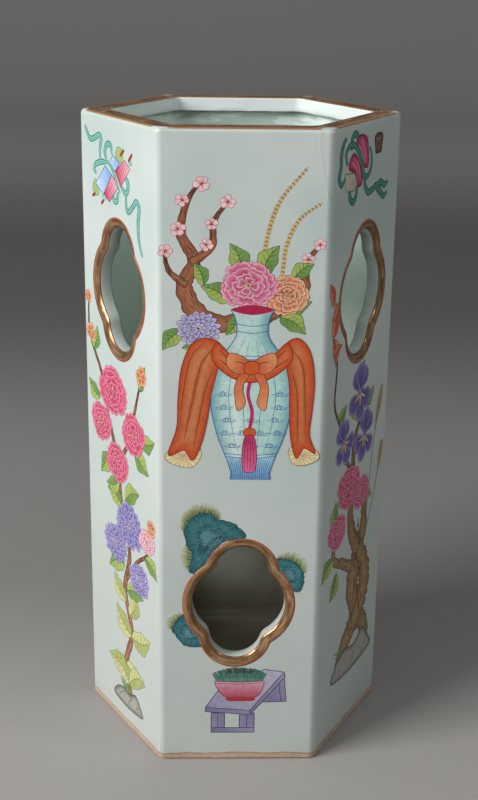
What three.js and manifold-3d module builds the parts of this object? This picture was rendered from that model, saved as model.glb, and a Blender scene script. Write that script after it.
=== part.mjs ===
// A hexagonal porcelain hat stand, built of clay slabs. Six mitred walls stand round a
// base slab and carry a flat mouth rim. Each wall has a four-lobed window with a rolled
// lip, low on every other wall and high on the walls between. Strips of clay, pressed
// into the seams from inside, lute the walls to each other and to the base.
//
// Millimetres, +Z up. The origin is the middle of the foot, and the front wall faces -Y.

import * as THREE from "three";
import { mergeVertices } from "three/addons/utils/BufferGeometryUtils.js";
import Module from "manifold-3d";

// The pot as a whole
const SIDES = 6;
const HEIGHT = 285;
const ACROSS_CORNERS = 140; // over the sharp corners, before they are rounded
const WALL_THICKNESS = 7.5;
const CORNER_ROUNDING = 4;
const SEAM_GAP = 0.3; // the line of slip between two luted pieces
const FOOT_BEVEL = 1; // wiped off the outer foot edge before firing

// The mouth rim
const RIM_THICKNESS = 7;
const RIM_WIDTH = 10.8;
const RIM_OUTER_ROLL = 1.8;
const RIM_INNER_ROLL = 0.8;
const MOUTH_CORNER_ROUNDING = 5;

// The base slab
const BASE_THICKNESS = 8;
const BASE_RECESS = 4; // from the foot up to the slab's underside
const BASE_CORNER_ROUNDING = 2;
const BASE_CHAMFER = 1;

// The luting strips
const STRIP_LEG = 7; // how far a strip runs out on each side of its seam
const STRIP_EDGE = 0.8; // its thickness where it ends
const FINGER_RADIUS = 9; // of the fingertip that hollows its face
const STRIP_CORNER_ROUNDING = 1;

// A window, measured at the outer face, where its broad lip begins to roll inwards
const WINDOW_WIDTH = 48;
const WINDOW_HEIGHT = 61;
const SIDE_LOBE_RADIUS = 21.5;
const END_LOBE_RADIUS = 15.25;
const CUSP_FILLET = 3;
const LIP_WIDTH = 3.7; // of the roll, in from the outline
const LIP_DEPTH = 2.2; // of the roll, back from the outer face
const LIP_INNER_ROLL = 1;
const LOW_WINDOW_RISE = 79; // from the foot up to a low window's middle
const HIGH_WINDOW_DROP = 73; // from the rim down to a high window's middle
const CUT_OVERRUN = 2;

// The walls in order round the pot, with their windows low and high by turns. A window's
// tilt is in degrees, anticlockwise as seen from outside: each was cut by hand, and the two
// that lean most are given.
const WALLS = [
  { name: "wall_front", windowLevel: LOW_WINDOW_RISE, tilt: -5 },
  { name: "wall_front_right", windowLevel: HEIGHT - HIGH_WINDOW_DROP, tilt: -4 },
  { name: "wall_back_right", windowLevel: LOW_WINDOW_RISE, tilt: 0 },
  { name: "wall_back", windowLevel: HEIGHT - HIGH_WINDOW_DROP, tilt: 0 },
  { name: "wall_back_left", windowLevel: LOW_WINDOW_RISE, tilt: 0 },
  { name: "wall_front_left", windowLevel: HEIGHT - HIGH_WINDOW_DROP, tilt: 0 },
];

// The strip in the corner that each wall shares with the next one
const CORNER_STRIP_NAMES = [
  "corner_strip_front_right",
  "corner_strip_right",
  "corner_strip_back_right",
  "corner_strip_back_left",
  "corner_strip_left",
  "corner_strip_front_left",
];

// Steps along the curves
const ROLL_STEPS = 4;
const SMALL_ROLL_STEPS = 2;
const CORNER_STEPS = 6;
const SIDE_LOBE_STEPS = 12;
const END_LOBE_STEPS = 14;
const CUSP_STEPS = 4;
const FINGER_STEPS = 6;

// What follows from the sizes
const SIDE_ANGLE = (2 * Math.PI) / SIDES;
const HALF_SIDE_ANGLE = SIDE_ANGLE / 2;
const OUTER_APOTHEM = (ACROSS_CORNERS / 2) * Math.cos(HALF_SIDE_ANGLE);
const INNER_APOTHEM = OUTER_APOTHEM - WALL_THICKNESS;
const LINING_APOTHEM = INNER_APOTHEM - SEAM_GAP; // of what stands inside the walls
const RIM_UNDERSIDE = HEIGHT - RIM_THICKNESS;
const WALL_TOP = RIM_UNDERSIDE - SEAM_GAP;
const BASE_TOP = BASE_RECESS + BASE_THICKNESS;

const wasm = await Module();
wasm.setup();

// Materials
function glazedClay(colour, roughness) {
  return new THREE.MeshStandardMaterial({ color: colour, roughness, metalness: 0 });
}

const WALL_GLAZE = { colour: 0xd5ddd6, roughness: 0.12 };
const RIM_BROWN = { colour: 0x6e5541, roughness: 0.35 };
const BASE_GLAZE = { colour: 0xc8c9bd, roughness: 0.3 };
const STRIP_GLAZE = { colour: 0xcbd2c9, roughness: 0.2 };

function namedMesh(name, geometry, finish) {
  const mesh = new THREE.Mesh(geometry, glazedClay(finish.colour, finish.roughness));
  mesh.name = name;
  return mesh;
}

// Solids for cutting and joining
function toSolid(geometry) {
  const bare = geometry.clone();
  bare.deleteAttribute("normal");
  bare.deleteAttribute("uv");
  const merged = mergeVertices(bare);
  return new wasm.Manifold(new wasm.Mesh({
    numProp: 3,
    vertProperties: new Float32Array(merged.attributes.position.array),
    triVerts: new Uint32Array(merged.index.array),
  }));
}

function toGeometry(solid) {
  const mesh = solid.getMesh();
  const geometry = new THREE.BufferGeometry();
  geometry.setAttribute("position", new THREE.BufferAttribute(mesh.vertProperties, mesh.numProp));
  geometry.setIndex(new THREE.BufferAttribute(mesh.triVerts, 1));
  geometry.computeVertexNormals();
  return geometry;
}

// Joins outlines of equal point count, each at its own level and anticlockwise from above,
// into one closed body. Its two ends are capped, or joined to each other.
function loft(rings, endsMeet) {
  const count = rings[0].outline.length;
  const positions = rings.flatMap(({ outline, level }) => outline.flatMap((p) => [p.x, p.y, level]));
  const indices = [];
  const bandCount = endsMeet ? rings.length : rings.length - 1;
  for (let band = 0; band < bandCount; band += 1) {
    const near = band * count;
    const far = ((band + 1) % rings.length) * count;
    for (let i = 0; i < count; i += 1) {
      const next = (i + 1) % count;
      indices.push(near + i, near + next, far + next);
      indices.push(near + i, far + next, far + i);
    }
  }
  if (!endsMeet) {
    const last = (rings.length - 1) * count;
    for (const [a, b, c] of THREE.ShapeUtils.triangulateShape(rings[0].outline, [])) {
      indices.push(c, b, a);
    }
    for (const [a, b, c] of THREE.ShapeUtils.triangulateShape(rings.at(-1).outline, [])) {
      indices.push(last + a, last + b, last + c);
    }
  }
  const geometry = new THREE.BufferGeometry();
  geometry.setAttribute("position", new THREE.Float32BufferAttribute(positions, 3));
  geometry.setIndex(indices);
  geometry.computeVertexNormals();
  return geometry;
}

// Quarter of a roll, as shares of its radius: in from the face, and down from the edge
function rollShares(steps) {
  return Array.from({ length: steps + 1 }, (_, step) => {
    const turn = (step / steps) * (Math.PI / 2);
    return { inwardShare: 1 - Math.cos(turn), riseShare: Math.sin(turn) };
  });
}

// A hexagon with rounded corners, one of them on +X
function hexagon(apothem, rounding) {
  const reach = (apothem - rounding) / Math.cos(HALF_SIDE_ANGLE);
  const points = [];
  for (let corner = 0; corner < SIDES; corner += 1) {
    const middle = corner * SIDE_ANGLE;
    const arc = new THREE.EllipseCurve(
      reach * Math.cos(middle), reach * Math.sin(middle), rounding, rounding,
      middle - HALF_SIDE_ANGLE, middle + HALF_SIDE_ANGLE);
    points.push(...arc.getPoints(CORNER_STEPS));
  }
  return points;
}

// The window: two side lobes and two end lobes, with a fillet in each cusp between them.
// An inset keeps every arc's middle and changes only its radius.
function windowOutline(inset) {
  const sideReach = WINDOW_WIDTH / 2 - SIDE_LOBE_RADIUS;
  const endReach = WINDOW_HEIGHT / 2 - END_LOBE_RADIUS;
  const toSide = SIDE_LOBE_RADIUS + CUSP_FILLET;
  const toEnd = END_LOBE_RADIUS + CUSP_FILLET;

  // The fillet's middle lies toSide from the side lobe's and toEnd from the end lobe's.
  const apart = Math.hypot(sideReach, endReach);
  const along = (toSide ** 2 - toEnd ** 2 + apart ** 2) / (2 * apart);
  const off = Math.sqrt(toSide ** 2 - along ** 2);
  const fillet = new THREE.Vector2(
    sideReach - (along * sideReach - off * endReach) / apart,
    (along * endReach + off * sideReach) / apart);
  const sideTurn = Math.atan2(fillet.y, fillet.x - sideReach);
  const endTurn = Math.atan2(fillet.y - endReach, fillet.x);

  const sideRadius = SIDE_LOBE_RADIUS - inset;
  const endRadius = END_LOBE_RADIUS - inset;
  const cuspRadius = CUSP_FILLET + inset;
  const half = [
    { x: sideReach, y: 0, radius: sideRadius, from: -sideTurn, to: sideTurn, steps: SIDE_LOBE_STEPS },
    { x: fillet.x, y: fillet.y, radius: cuspRadius, from: sideTurn + Math.PI, to: endTurn + Math.PI,
      steps: CUSP_STEPS, clockwise: true },
    { x: 0, y: endReach, radius: endRadius, from: endTurn, to: Math.PI - endTurn, steps: END_LOBE_STEPS },
    { x: -fillet.x, y: fillet.y, radius: cuspRadius, from: -endTurn, to: -sideTurn,
      steps: CUSP_STEPS, clockwise: true },
  ];
  const points = [];
  for (const turn of [0, Math.PI]) {
    const sign = turn === 0 ? 1 : -1;
    for (const arc of half) {
      const curve = new THREE.EllipseCurve(
        sign * arc.x, sign * arc.y, arc.radius, arc.radius,
        arc.from + turn, arc.to + turn, arc.clockwise ?? false);
      points.push(...curve.getPoints(arc.steps).slice(0, -1));
    }
  }
  return points;
}

// What the window takes out of the front wall. It narrows from the inner face to the
// straight reveal, and widens again along the rolled lip to the outer face.
function windowCutter(windowLevel, tilt) {
  const innerRoll = rollShares(SMALL_ROLL_STEPS).map(({ inwardShare, riseShare }) => ({
    outline: windowOutline(LIP_WIDTH - LIP_INNER_ROLL + LIP_INNER_ROLL * riseShare),
    level: -WALL_THICKNESS + LIP_INNER_ROLL * inwardShare,
  }));
  const outerRoll = rollShares(ROLL_STEPS).map(({ inwardShare, riseShare }) => ({
    outline: windowOutline(LIP_WIDTH * (1 - inwardShare)),
    level: LIP_DEPTH * (riseShare - 1),
  }));
  const inside = { outline: innerRoll[0].outline, level: -WALL_THICKNESS - CUT_OVERRUN };
  const outside = { outline: outerRoll.at(-1).outline, level: CUT_OVERRUN };
  const cutter = loft([inside, ...innerRoll, ...outerRoll, outside], false);
  cutter.rotateZ(THREE.MathUtils.degToRad(tilt));
  cutter.rotateX(Math.PI / 2);
  cutter.translate(0, -OUTER_APOTHEM, windowLevel);
  return toSolid(cutter);
}

// The front wall's plan: outer face, rounded corners and the mitres that meet its neighbours
function wallPlan(outerInset) {
  const reach = (OUTER_APOTHEM - CORNER_ROUNDING) / Math.cos(HALF_SIDE_ANGLE);
  const radius = CORNER_ROUNDING - outerInset;
  const centre = new THREE.Vector2(
    reach * Math.sin(HALF_SIDE_ANGLE), -reach * Math.cos(HALF_SIDE_ANGLE));
  const down = -Math.PI / 2;
  const mitreTurn = HALF_SIDE_ANGLE - Math.asin(SEAM_GAP / 2 / radius);
  const innerHalf = INNER_APOTHEM * Math.tan(HALF_SIDE_ANGLE)
    - SEAM_GAP / 2 / Math.cos(HALF_SIDE_ANGLE);
  const rightCorner = new THREE.EllipseCurve(
    centre.x, centre.y, radius, radius, down, down + mitreTurn);
  const leftCorner = new THREE.EllipseCurve(
    -centre.x, centre.y, radius, radius, down - mitreTurn, down);
  return [
    ...leftCorner.getPoints(CORNER_STEPS / 2),
    ...rightCorner.getPoints(CORNER_STEPS / 2),
    new THREE.Vector2(innerHalf, -INNER_APOTHEM),
    new THREE.Vector2(-innerHalf, -INNER_APOTHEM),
  ];
}

function wall({ name, windowLevel, tilt }, place) {
  const slab = loft([
    { outline: wallPlan(FOOT_BEVEL), level: 0 },
    { outline: wallPlan(0), level: FOOT_BEVEL },
    { outline: wallPlan(0), level: WALL_TOP },
  ], false);
  const pierced = toSolid(slab).subtract(windowCutter(windowLevel, tilt));
  const mesh = namedMesh(name, toGeometry(pierced), WALL_GLAZE);
  mesh.rotation.z = place * SIDE_ANGLE;
  return mesh;
}

// The rim: a flat hexagonal frame, flush with the walls outside and wider than they are
// inside, with its top edges and its lower inner edge rolled
function mouthRim() {
  const mouthApothem = OUTER_APOTHEM - RIM_WIDTH;
  const outer = (inset, level) => ({
    outline: hexagon(OUTER_APOTHEM - inset, CORNER_ROUNDING - inset), level });
  const inner = (outset, level) => ({
    outline: hexagon(mouthApothem + outset, MOUTH_CORNER_ROUNDING + outset), level });
  const topOuter = rollShares(ROLL_STEPS).map(({ inwardShare, riseShare }) =>
    outer(RIM_OUTER_ROLL * inwardShare, RIM_THICKNESS - RIM_OUTER_ROLL * (1 - riseShare)));
  const lowInner = rollShares(SMALL_ROLL_STEPS).map(({ inwardShare, riseShare }) =>
    inner(RIM_INNER_ROLL * inwardShare, RIM_INNER_ROLL * (1 - riseShare)));
  const topInner = rollShares(SMALL_ROLL_STEPS).map(({ inwardShare, riseShare }) =>
    inner(RIM_INNER_ROLL * inwardShare, RIM_THICKNESS - RIM_INNER_ROLL * (1 - riseShare)));
  const frame = loft([outer(0, 0), ...topOuter, ...topInner.reverse(), ...lowInner], true);
  const mesh = namedMesh("mouth_rim", frame, RIM_BROWN);
  mesh.position.z = RIM_UNDERSIDE;
  return mesh;
}

// The base: a hexagonal slab inside the walls, held up from the foot
function baseSlab() {
  const full = hexagon(LINING_APOTHEM, BASE_CORNER_ROUNDING);
  const chamfered = hexagon(LINING_APOTHEM - BASE_CHAMFER, BASE_CORNER_ROUNDING - BASE_CHAMFER);
  const slab = loft([
    { outline: chamfered, level: 0 },
    { outline: full, level: BASE_CHAMFER },
    { outline: full, level: BASE_THICKNESS - BASE_CHAMFER },
    { outline: chamfered, level: BASE_THICKNESS },
  ], false);
  const mesh = namedMesh("base_slab", slab, BASE_GLAZE);
  mesh.position.z = BASE_RECESS;
  return mesh;
}

// The section of a luting strip, with its heel at the origin and the seam opening along
// +X by halfAngle to each side. A fingertip has hollowed its face. To clear a neighbour, a
// swell moves its face and ends outwards, and a backing sinks its sides into the walls.
function stripSection(halfAngle, swell, backing) {
  const alongWall = new THREE.Vector2(Math.cos(halfAngle), Math.sin(halfAngle));
  const offWall = new THREE.Vector2(Math.sin(halfAngle), -Math.cos(halfAngle));
  const onWall = (along, off) =>
    alongWall.clone().multiplyScalar(along).addScaledVector(offWall, off);
  const tip = onWall(STRIP_LEG, STRIP_EDGE);
  const finger = new THREE.Vector2(tip.x + Math.sqrt(FINGER_RADIUS ** 2 - tip.y ** 2), 0);
  const radius = FINGER_RADIUS - swell;
  const leg = STRIP_LEG + swell;
  const edge = finger.dot(offWall) - Math.sqrt(radius ** 2 - (leg - finger.dot(alongWall)) ** 2);
  const corner = onWall(leg, edge);
  const end = onWall(leg, -backing);
  const turn = Math.atan2(corner.y, corner.x - finger.x);
  const face = new THREE.EllipseCurve(finger.x, 0, radius, radius, turn, -turn, false);
  return [
    new THREE.Vector2(-backing / Math.sin(halfAngle), 0),
    new THREE.Vector2(end.x, -end.y),
    ...face.getPoints(FINGER_STEPS).reverse(),
    end,
  ];
}

// The strip round the base seam, between the walls' inner faces and the slab's top
function baseStripGeometry(swell, backing) {
  const seamTurn = (3 * Math.PI) / 4; // from straight outwards to midway between up and inwards
  const heel = new THREE.Vector2(0, 0);
  const rings = stripSection(Math.PI / 4, swell, backing).map((point) => {
    const { x, y } = point.rotateAround(heel, seamTurn);
    return { outline: hexagon(LINING_APOTHEM + x, STRIP_CORNER_ROUNDING), level: y };
  });
  return loft(rings, true);
}

function baseStrip() {
  const mesh = namedMesh("base_strip", baseStripGeometry(0, 0), STRIP_GLAZE);
  mesh.position.z = BASE_TOP + SEAM_GAP;
  return mesh;
}

// A strip up the corner of two walls. Its foot is coped over the strip round the base.
function cornerStrip(name, place) {
  const foot = BASE_TOP + SEAM_GAP;
  const section = new THREE.Shape(stripSection(Math.PI / 2 - HALF_SIDE_ANGLE, 0, 0));
  const strip = new THREE.ExtrudeGeometry(section, {
    depth: WALL_TOP - foot,
    bevelEnabled: false,
  });
  strip.rotateZ(Math.PI);
  strip.translate(LINING_APOTHEM / Math.cos(HALF_SIDE_ANGLE), 0, 0);
  const coped = toSolid(strip).subtract(toSolid(baseStripGeometry(SEAM_GAP, CUT_OVERRUN)));
  const mesh = namedMesh(name, toGeometry(coped), STRIP_GLAZE);
  mesh.position.z = foot;
  mesh.rotation.z = -SIDE_ANGLE + place * SIDE_ANGLE;
  return mesh;
}

const hatStand = new THREE.Group();
hatStand.name = "porcelain_hat_stand";
hatStand.add(...WALLS.map(wall));
hatStand.add(baseSlab());
hatStand.add(mouthRim());
hatStand.add(baseStrip());
hatStand.add(...CORNER_STRIP_NAMES.map(cornerStrip));

export default hatStand;
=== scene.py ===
# %% [markdown]
# # A hexagonal porcelain hat stand
# The pot is built of clay slabs, glazed, and painted over the glaze in enamels and gold.
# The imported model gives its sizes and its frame: metres, +Z up, the front wall facing -Y.
# This lesson dresses it: first the glazed body, then the coats on it, from the rim's
# enamel and the gilt window lips to the flowers, and last the light.

import math
import random

import bmesh
import bpy
import numpy as np
from mathutils import Matrix, Vector
from mathutils.geometry import delaunay_2d_cdt


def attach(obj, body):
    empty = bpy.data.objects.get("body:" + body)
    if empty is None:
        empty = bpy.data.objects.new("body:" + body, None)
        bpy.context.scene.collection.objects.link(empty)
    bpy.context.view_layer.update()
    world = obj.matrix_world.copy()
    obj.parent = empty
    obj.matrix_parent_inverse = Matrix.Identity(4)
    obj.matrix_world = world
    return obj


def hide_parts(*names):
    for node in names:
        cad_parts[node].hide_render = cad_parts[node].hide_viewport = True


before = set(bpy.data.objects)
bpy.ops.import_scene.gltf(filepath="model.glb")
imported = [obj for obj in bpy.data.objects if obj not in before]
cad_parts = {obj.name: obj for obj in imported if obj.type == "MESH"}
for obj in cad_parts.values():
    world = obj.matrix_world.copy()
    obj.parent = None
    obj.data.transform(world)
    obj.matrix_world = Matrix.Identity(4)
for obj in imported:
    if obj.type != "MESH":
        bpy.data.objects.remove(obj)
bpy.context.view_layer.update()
print("nodes:", len(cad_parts))

# %% [markdown]
# ## Camera
# The camera's place was solved from the ten outer corners of the pot that show, so it is given
# as a point, three turns and a focal length in pixels of the picture.

# %% Camera
IMAGE_HEIGHT = 800
SENSOR = 36
FOCAL_PIXELS = 1336.73
CAMERA_PLACE = (-0.0167662, -0.5850632, 0.3521708)
CAMERA_YAW = math.radians(1.7102)
CAMERA_PITCH = math.radians(18.815)
CAMERA_ROLL = math.radians(0.7829)

camera_data = bpy.data.cameras.new("camera")
camera_data.sensor_fit = "VERTICAL"
camera_data.sensor_height = SENSOR
camera_data.lens = SENSOR * FOCAL_PIXELS / IMAGE_HEIGHT
camera_data.clip_start = 0.01
camera = bpy.data.objects.new("camera", camera_data)
bpy.context.scene.collection.objects.link(camera)
facing = Matrix.Rotation(-CAMERA_YAW, 4, "Z") @ Matrix.Rotation(math.pi / 2 - CAMERA_PITCH, 4, "X")
camera.matrix_world = Matrix.Translation(CAMERA_PLACE) @ facing @ Matrix.Rotation(CAMERA_ROLL, 4, "Z")
bpy.context.scene.camera = camera
print("lens:", round(camera_data.lens, 2), "mm")

# %% [markdown]
# ## Sizes
# The body is drawn in millimetres, with the same named sizes as the model. Its glaze lies
# a little inside the model's faces, so that the enamel and the gold on it still fit.

# %% Sizes
MM = 0.001
SIDES = 6
SIDE_ANGLE = 2 * math.pi / SIDES
HALF_SIDE_ANGLE = SIDE_ANGLE / 2
HEIGHT = 285
ACROSS_CORNERS = 140
WALL_THICKNESS = 7.5
COAT_ROOM = 0.35

MODEL_APOTHEM = ACROSS_CORNERS / 2 * math.cos(HALF_SIDE_ANGLE)
APOTHEM = MODEL_APOTHEM - COAT_ROOM
LINING_APOTHEM = MODEL_APOTHEM - WALL_THICKNESS
TOP = HEIGHT - COAT_ROOM
CORNER_ROUNDING = 4
LINING_ROUNDING = 11

RIM_WIDTH = 10.8
RIM_THICKNESS = 7
RIM_OUTER_ROLL = 1.8
RIM_INNER_ROLL = 0.8
MOUTH_ROUNDING = 5
MOUTH_APOTHEM = MODEL_APOTHEM - RIM_WIDTH
RIM_UNDERSIDE = HEIGHT - RIM_THICKNESS
UNDERSIDE_FILLET = 1.2

BASE_TOP = 12
BASE_FILLET = 7
RECESS = 4
RECESS_FILLET = 1.5
RECESS_ROUNDING = 2
FOOT_BEVEL = 1
FOOT_ROLL = 0.8

CORNER_STEPS = 12
FLAT_STEPS = 8
ROLL_STEPS = 8
WALL_ROWS = 24

# The walls in order round the pot: name, level of the window's middle, and its tilt
WALLS = [
    ("front", 79, -5),
    ("front_right", 212, -4),
    ("back_right", 79, 0),
    ("back", 212, 0),
    ("back_left", 79, 0),
    ("front_left", 212, 0),
]
print("across the flats:", round(2 * MODEL_APOTHEM, 2), "mm")

# %% [markdown]
# ## Meshes
# Every piece is drawn as lists of points and faces in millimetres. One helper merges the
# points that meet, turns the faces outwards and makes the object, with its place in its
# mesh. Weighted normals keep the flats flat right up to their rounded edges.

# %% Meshes
MERGE_DISTANCE = 0.0005

def link(obj):
    bpy.context.scene.collection.objects.link(obj)
    return obj

def make_piece(name, points, faces, material, merge=True):
    mesh = bpy.data.meshes.new(name)
    mesh.from_pydata([tuple(p) for p in points], [], [tuple(f) for f in faces])
    shape = bmesh.new()
    shape.from_mesh(mesh)
    if merge:
        bmesh.ops.remove_doubles(shape, verts=shape.verts, dist=MERGE_DISTANCE)
        bmesh.ops.recalc_face_normals(shape, faces=shape.faces)
    shape.to_mesh(mesh)
    shape.free()
    mesh.transform(Matrix.Scale(MM, 4))
    mesh.shade_smooth()
    mesh.materials.append(material)
    return link(bpy.data.objects.new(name, mesh))

def settle(obj):
    """Turns what the object's modifiers make into its own plain mesh."""
    bpy.context.view_layer.update()
    graph = bpy.context.evaluated_depsgraph_get()
    mesh = bpy.data.meshes.new_from_object(
        obj.evaluated_get(graph), preserve_all_data_layers=True, depsgraph=graph)
    mesh.name = obj.name
    obj.modifiers.clear()
    obj.data = mesh
    return obj

def weigh_normals(obj):
    modifier = obj.modifiers.new("flats", "WEIGHTED_NORMAL")
    modifier.mode = "FACE_AREA"
    return settle(obj)

def triangle_count(obj):
    return sum(len(p.vertices) - 2 for p in obj.data.polygons)

def report(obj):
    print(obj.name, triangle_count(obj), "triangles")

# %% [markdown]
# ## Finishes
# A finish is a node tree. Its sums are written as plain Python: a small class wraps a
# socket, and +, -, * and / on it add the Math nodes. Every node comes from one method,
# which takes its type, what goes into its sockets, and its settings.

# %% Finishes
def arithmetic(operation, swapped=False):
    """The method behind an operator, which adds the Math node of that name."""
    def method(self, other=0):
        first, second = (other, self) if swapped else (self, other)
        return self.finish.value("ShaderNodeMath", {0: first, 1: second}, operation=operation)
    return method

class Value:
    """A number that changes over the surface."""

    def __init__(self, finish, socket):
        self.finish = finish
        self.socket = socket

    __add__ = arithmetic("ADD")
    __radd__ = arithmetic("ADD", swapped=True)
    __sub__ = arithmetic("SUBTRACT")
    __rsub__ = arithmetic("SUBTRACT", swapped=True)
    __mul__ = arithmetic("MULTIPLY")
    __rmul__ = arithmetic("MULTIPLY", swapped=True)
    __truediv__ = arithmetic("DIVIDE")
    __abs__ = arithmetic("ABSOLUTE")
    larger = arithmetic("MAXIMUM")

class Nodes:
    """A tree whose nodes all come from one method."""

    def __init__(self, tree):
        self.nodes = tree.nodes
        self.links = tree.links

    def feed(self, socket, source):
        if isinstance(source, Value):
            source = source.socket
        if isinstance(source, bpy.types.NodeSocket):
            self.links.new(source, socket)
        else:
            socket.default_value = source

    def node(self, kind, inputs, **settings):
        node = self.nodes.new(kind)
        for name, setting in settings.items():
            setattr(node, name, setting)
        for name, source in inputs.items():
            self.feed(node.inputs[name], source)
        return node

class Finish(Nodes):
    """One material: its nodes feed the shader's own sockets."""

    def __init__(self, name):
        self.material = bpy.data.materials.new(name)
        self.material.use_nodes = True
        super().__init__(self.material.node_tree)
        self.shader = self.nodes["Principled BSDF"]
        self.place = self.node("ShaderNodeTexCoord", {}).outputs["Object"]
        parts = self.node("ShaderNodeSeparateXYZ", {0: self.place})
        self.x, self.y, self.z = (Value(self, socket) / MM for socket in parts.outputs)

    def value(self, kind, inputs, **settings):
        return Value(self, self.node(kind, inputs, **settings).outputs[0])

    def set(self, **sockets):
        for name, source in sockets.items():
            self.feed(self.shader.inputs[name.replace("_", " ").title()], source)

    def noise(self, per_mm, detail=2, stretch=(1, 1, 1), seed=0):
        """Noise with features of about 1 / per_mm millimetres, less where stretch is more."""
        scale = tuple(per_mm / MM * s for s in stretch)
        moved = self.node("ShaderNodeMapping", {
            "Vector": self.place, "Location": (seed, seed, seed), "Scale": scale})
        return self.value("ShaderNodeTexNoise", {"Vector": moved.outputs[0], "Scale": 1, "Detail": detail})

    def between(self, value, low, high):
        """0 below low and 1 above high, smooth between them; high may be the lower one."""
        return self.value("ShaderNodeMapRange", {"Value": value, "From Min": low, "From Max": high},
            interpolation_type="SMOOTHSTEP")

    def mix(self, share, first, second, blend="MIX"):
        return self.node("ShaderNodeMix", {0: share, 6: first, 7: second}, data_type="RGBA",
            blend_type=blend).outputs[2]

    def over(self, tint, *layers):
        """Lays tones over a tint in turn; each layer is its share and its tone."""
        for share, tone in layers:
            tint = self.mix(share, tint, tone)
        return tint

    def attribute(self, name, output="Fac"):
        return self.node("ShaderNodeAttribute", {}, attribute_name=name).outputs[output]

    def bump(self, height, depth_mm):
        """height is 0 to 1, and depth_mm what 1 stands for."""
        return self.node("ShaderNodeBump", {"Height": height, "Distance": depth_mm * MM}).outputs[0]

def colour(red, green, blue):
    """A colour as it is read off a screen, 0 to 255, made linear for the shader."""
    shares = np.array([red, green, blue]) / 255
    linear = np.where(shares <= 0.04045, shares / 12.92, ((shares + 0.055) / 1.055) ** 2.4)
    return (*linear.tolist(), 1.0)

# %% [markdown]
# ## The glaze
# The real glaze is a pale grey-green glass over white porcelain. It is nearly clean, a little
# greyer low down, with a few iron specks, a slightly wavy surface and one hairline near the
# top of the front wall. It is wiped off the foot, where the bare clay has burned tan. Inside,
# the glaze has painted shade and painted reflections in streaks under the rim, painted light
# on the rim's inner face, and painted shade that deepens lower down, and it is browner towards
# the floor; the seam at the rim has a dark line of dirt and painted shadow, and the seam at the
# floor has painted shade. All of that is one material, steered by the "finish" attribute of the
# body: red where the lining is, green where the clay is bare, blue in the windows' reveals, which
# get painted shade.

# %% The glaze
GLAZE = colour(206, 216, 212)
GLAZE_DEEP = colour(192, 208, 204)
GLAZE_LOW = colour(191, 199, 194)
# painted light: the whiter tone of the rim's inner face and of the streaks under the rim
MOUTH_PAINTED_LIGHT = colour(233, 243, 241)
LINING = colour(217, 233, 225)
LINING_SHADE = colour(176, 190, 182)
# painted shade: the lining is painted darker and greyer lower down
LINING_LOW_SHADE = colour(178, 182, 168)
LINING_BROWN = colour(146, 138, 120)
# painted shade over the fillet where the walls meet the floor
FLOOR_SEAM_SHADE = colour(134, 126, 110)
# the dark line under the rim: dirt in the joint and painted shadow of the rim
RIM_SEAM_DIRT_AND_SHADOW = colour(84, 92, 84)
# painted shade in the windows' reveals, deepest at the top of the high windows
REVEAL_SHADE = colour(160, 170, 164)
REVEAL_TOP_SHADE = colour(128, 126, 116)
BISCUIT = colour(170, 132, 102)
BISCUIT_PALE = colour(216, 196, 174)
BISCUIT_BURNT = colour(150, 104, 74)
SPECK = colour(92, 74, 60)
HAIRLINE = colour(232, 236, 230)
HAIRLINE_SHADE = colour(168, 178, 172)
HAIRLINE_START = 28.8
HAIRLINE_BEND = 4.8
HAIRLINE_DROP = 28
HAIRLINE_WAVER = 1.6
SPECK_SPACING = 14
FOOT_WIPED = 3.7
FOOT_WAVER = 2.4
# how far the edge of the lining's painted shade wavers up and down
LOWER_SHADE_WAVER = 40
WAVE_DEPTH = 0.5

# Levels between which a tone comes in, from none of it to all of it
GREYER = (220, 10)
# painted shade on the lining comes in between these levels
LOWER_SHADE_LEVELS = (230, 50)
BROWNER = (46, 12)
# painted shade and painted reflections streak the lining between these levels
UNDER_RIM_SHADE_AND_SHEEN = (250, 264)
# painted light on the rim's inner face, fading out towards its lower edge
PAINTED_MOUTH_LIGHT_LEVELS = (277.9, 280.5)
# painted shade over the floor's fillet lies between these two
FLOOR_SEAM_SHADE_ABOVE = (BASE_TOP + 0.1, BASE_TOP + 1.2)
FLOOR_SEAM_SHADE_BELOW = (BASE_TOP + 6.5, BASE_TOP + 2)
# painted shade at the top of the high windows' reveals comes in between these levels
SHADED_REVEAL_TOP = (224, 238)

def outer_tint(finish, cloudy):
    """The outside: cloudy, greyer low down, with its iron specks and the hairline."""
    tint = finish.mix(finish.between(cloudy, 0.35, 0.7), GLAZE, GLAZE_DEEP)
    specks = finish.value("ShaderNodeTexVoronoi", {"Vector": finish.place, "Scale": 1 / SPECK_SPACING / MM})
    rare = finish.noise(1 / 30, seed=3)
    speck = finish.between(specks, 0.03, 0.012) * finish.between(rare, 0.5, 0.56)
    wander = finish.noise(1 / 9, detail=4, seed=7)
    run = (TOP - finish.z) / HAIRLINE_DROP
    offset = finish.x - (HAIRLINE_START + HAIRLINE_BEND * run * run + HAIRLINE_WAVER * (wander - 0.5))
    on_front = finish.between(finish.y, -55, -58) * finish.between(run, 1.08, 0.98)
    beside = finish.between(offset, 0, 0.3) * finish.between(offset, 2.4, 0.4) * on_front
    crack = finish.between(abs(offset), 0.26, 0.08) * on_front
    return finish.over(
        tint, (finish.between(finish.z, *GREYER) * 0.8, GLAZE_LOW), (speck * 0.8, SPECK),
        (beside * 0.22, HAIRLINE_SHADE), (crack * 0.4, HAIRLINE))

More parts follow.
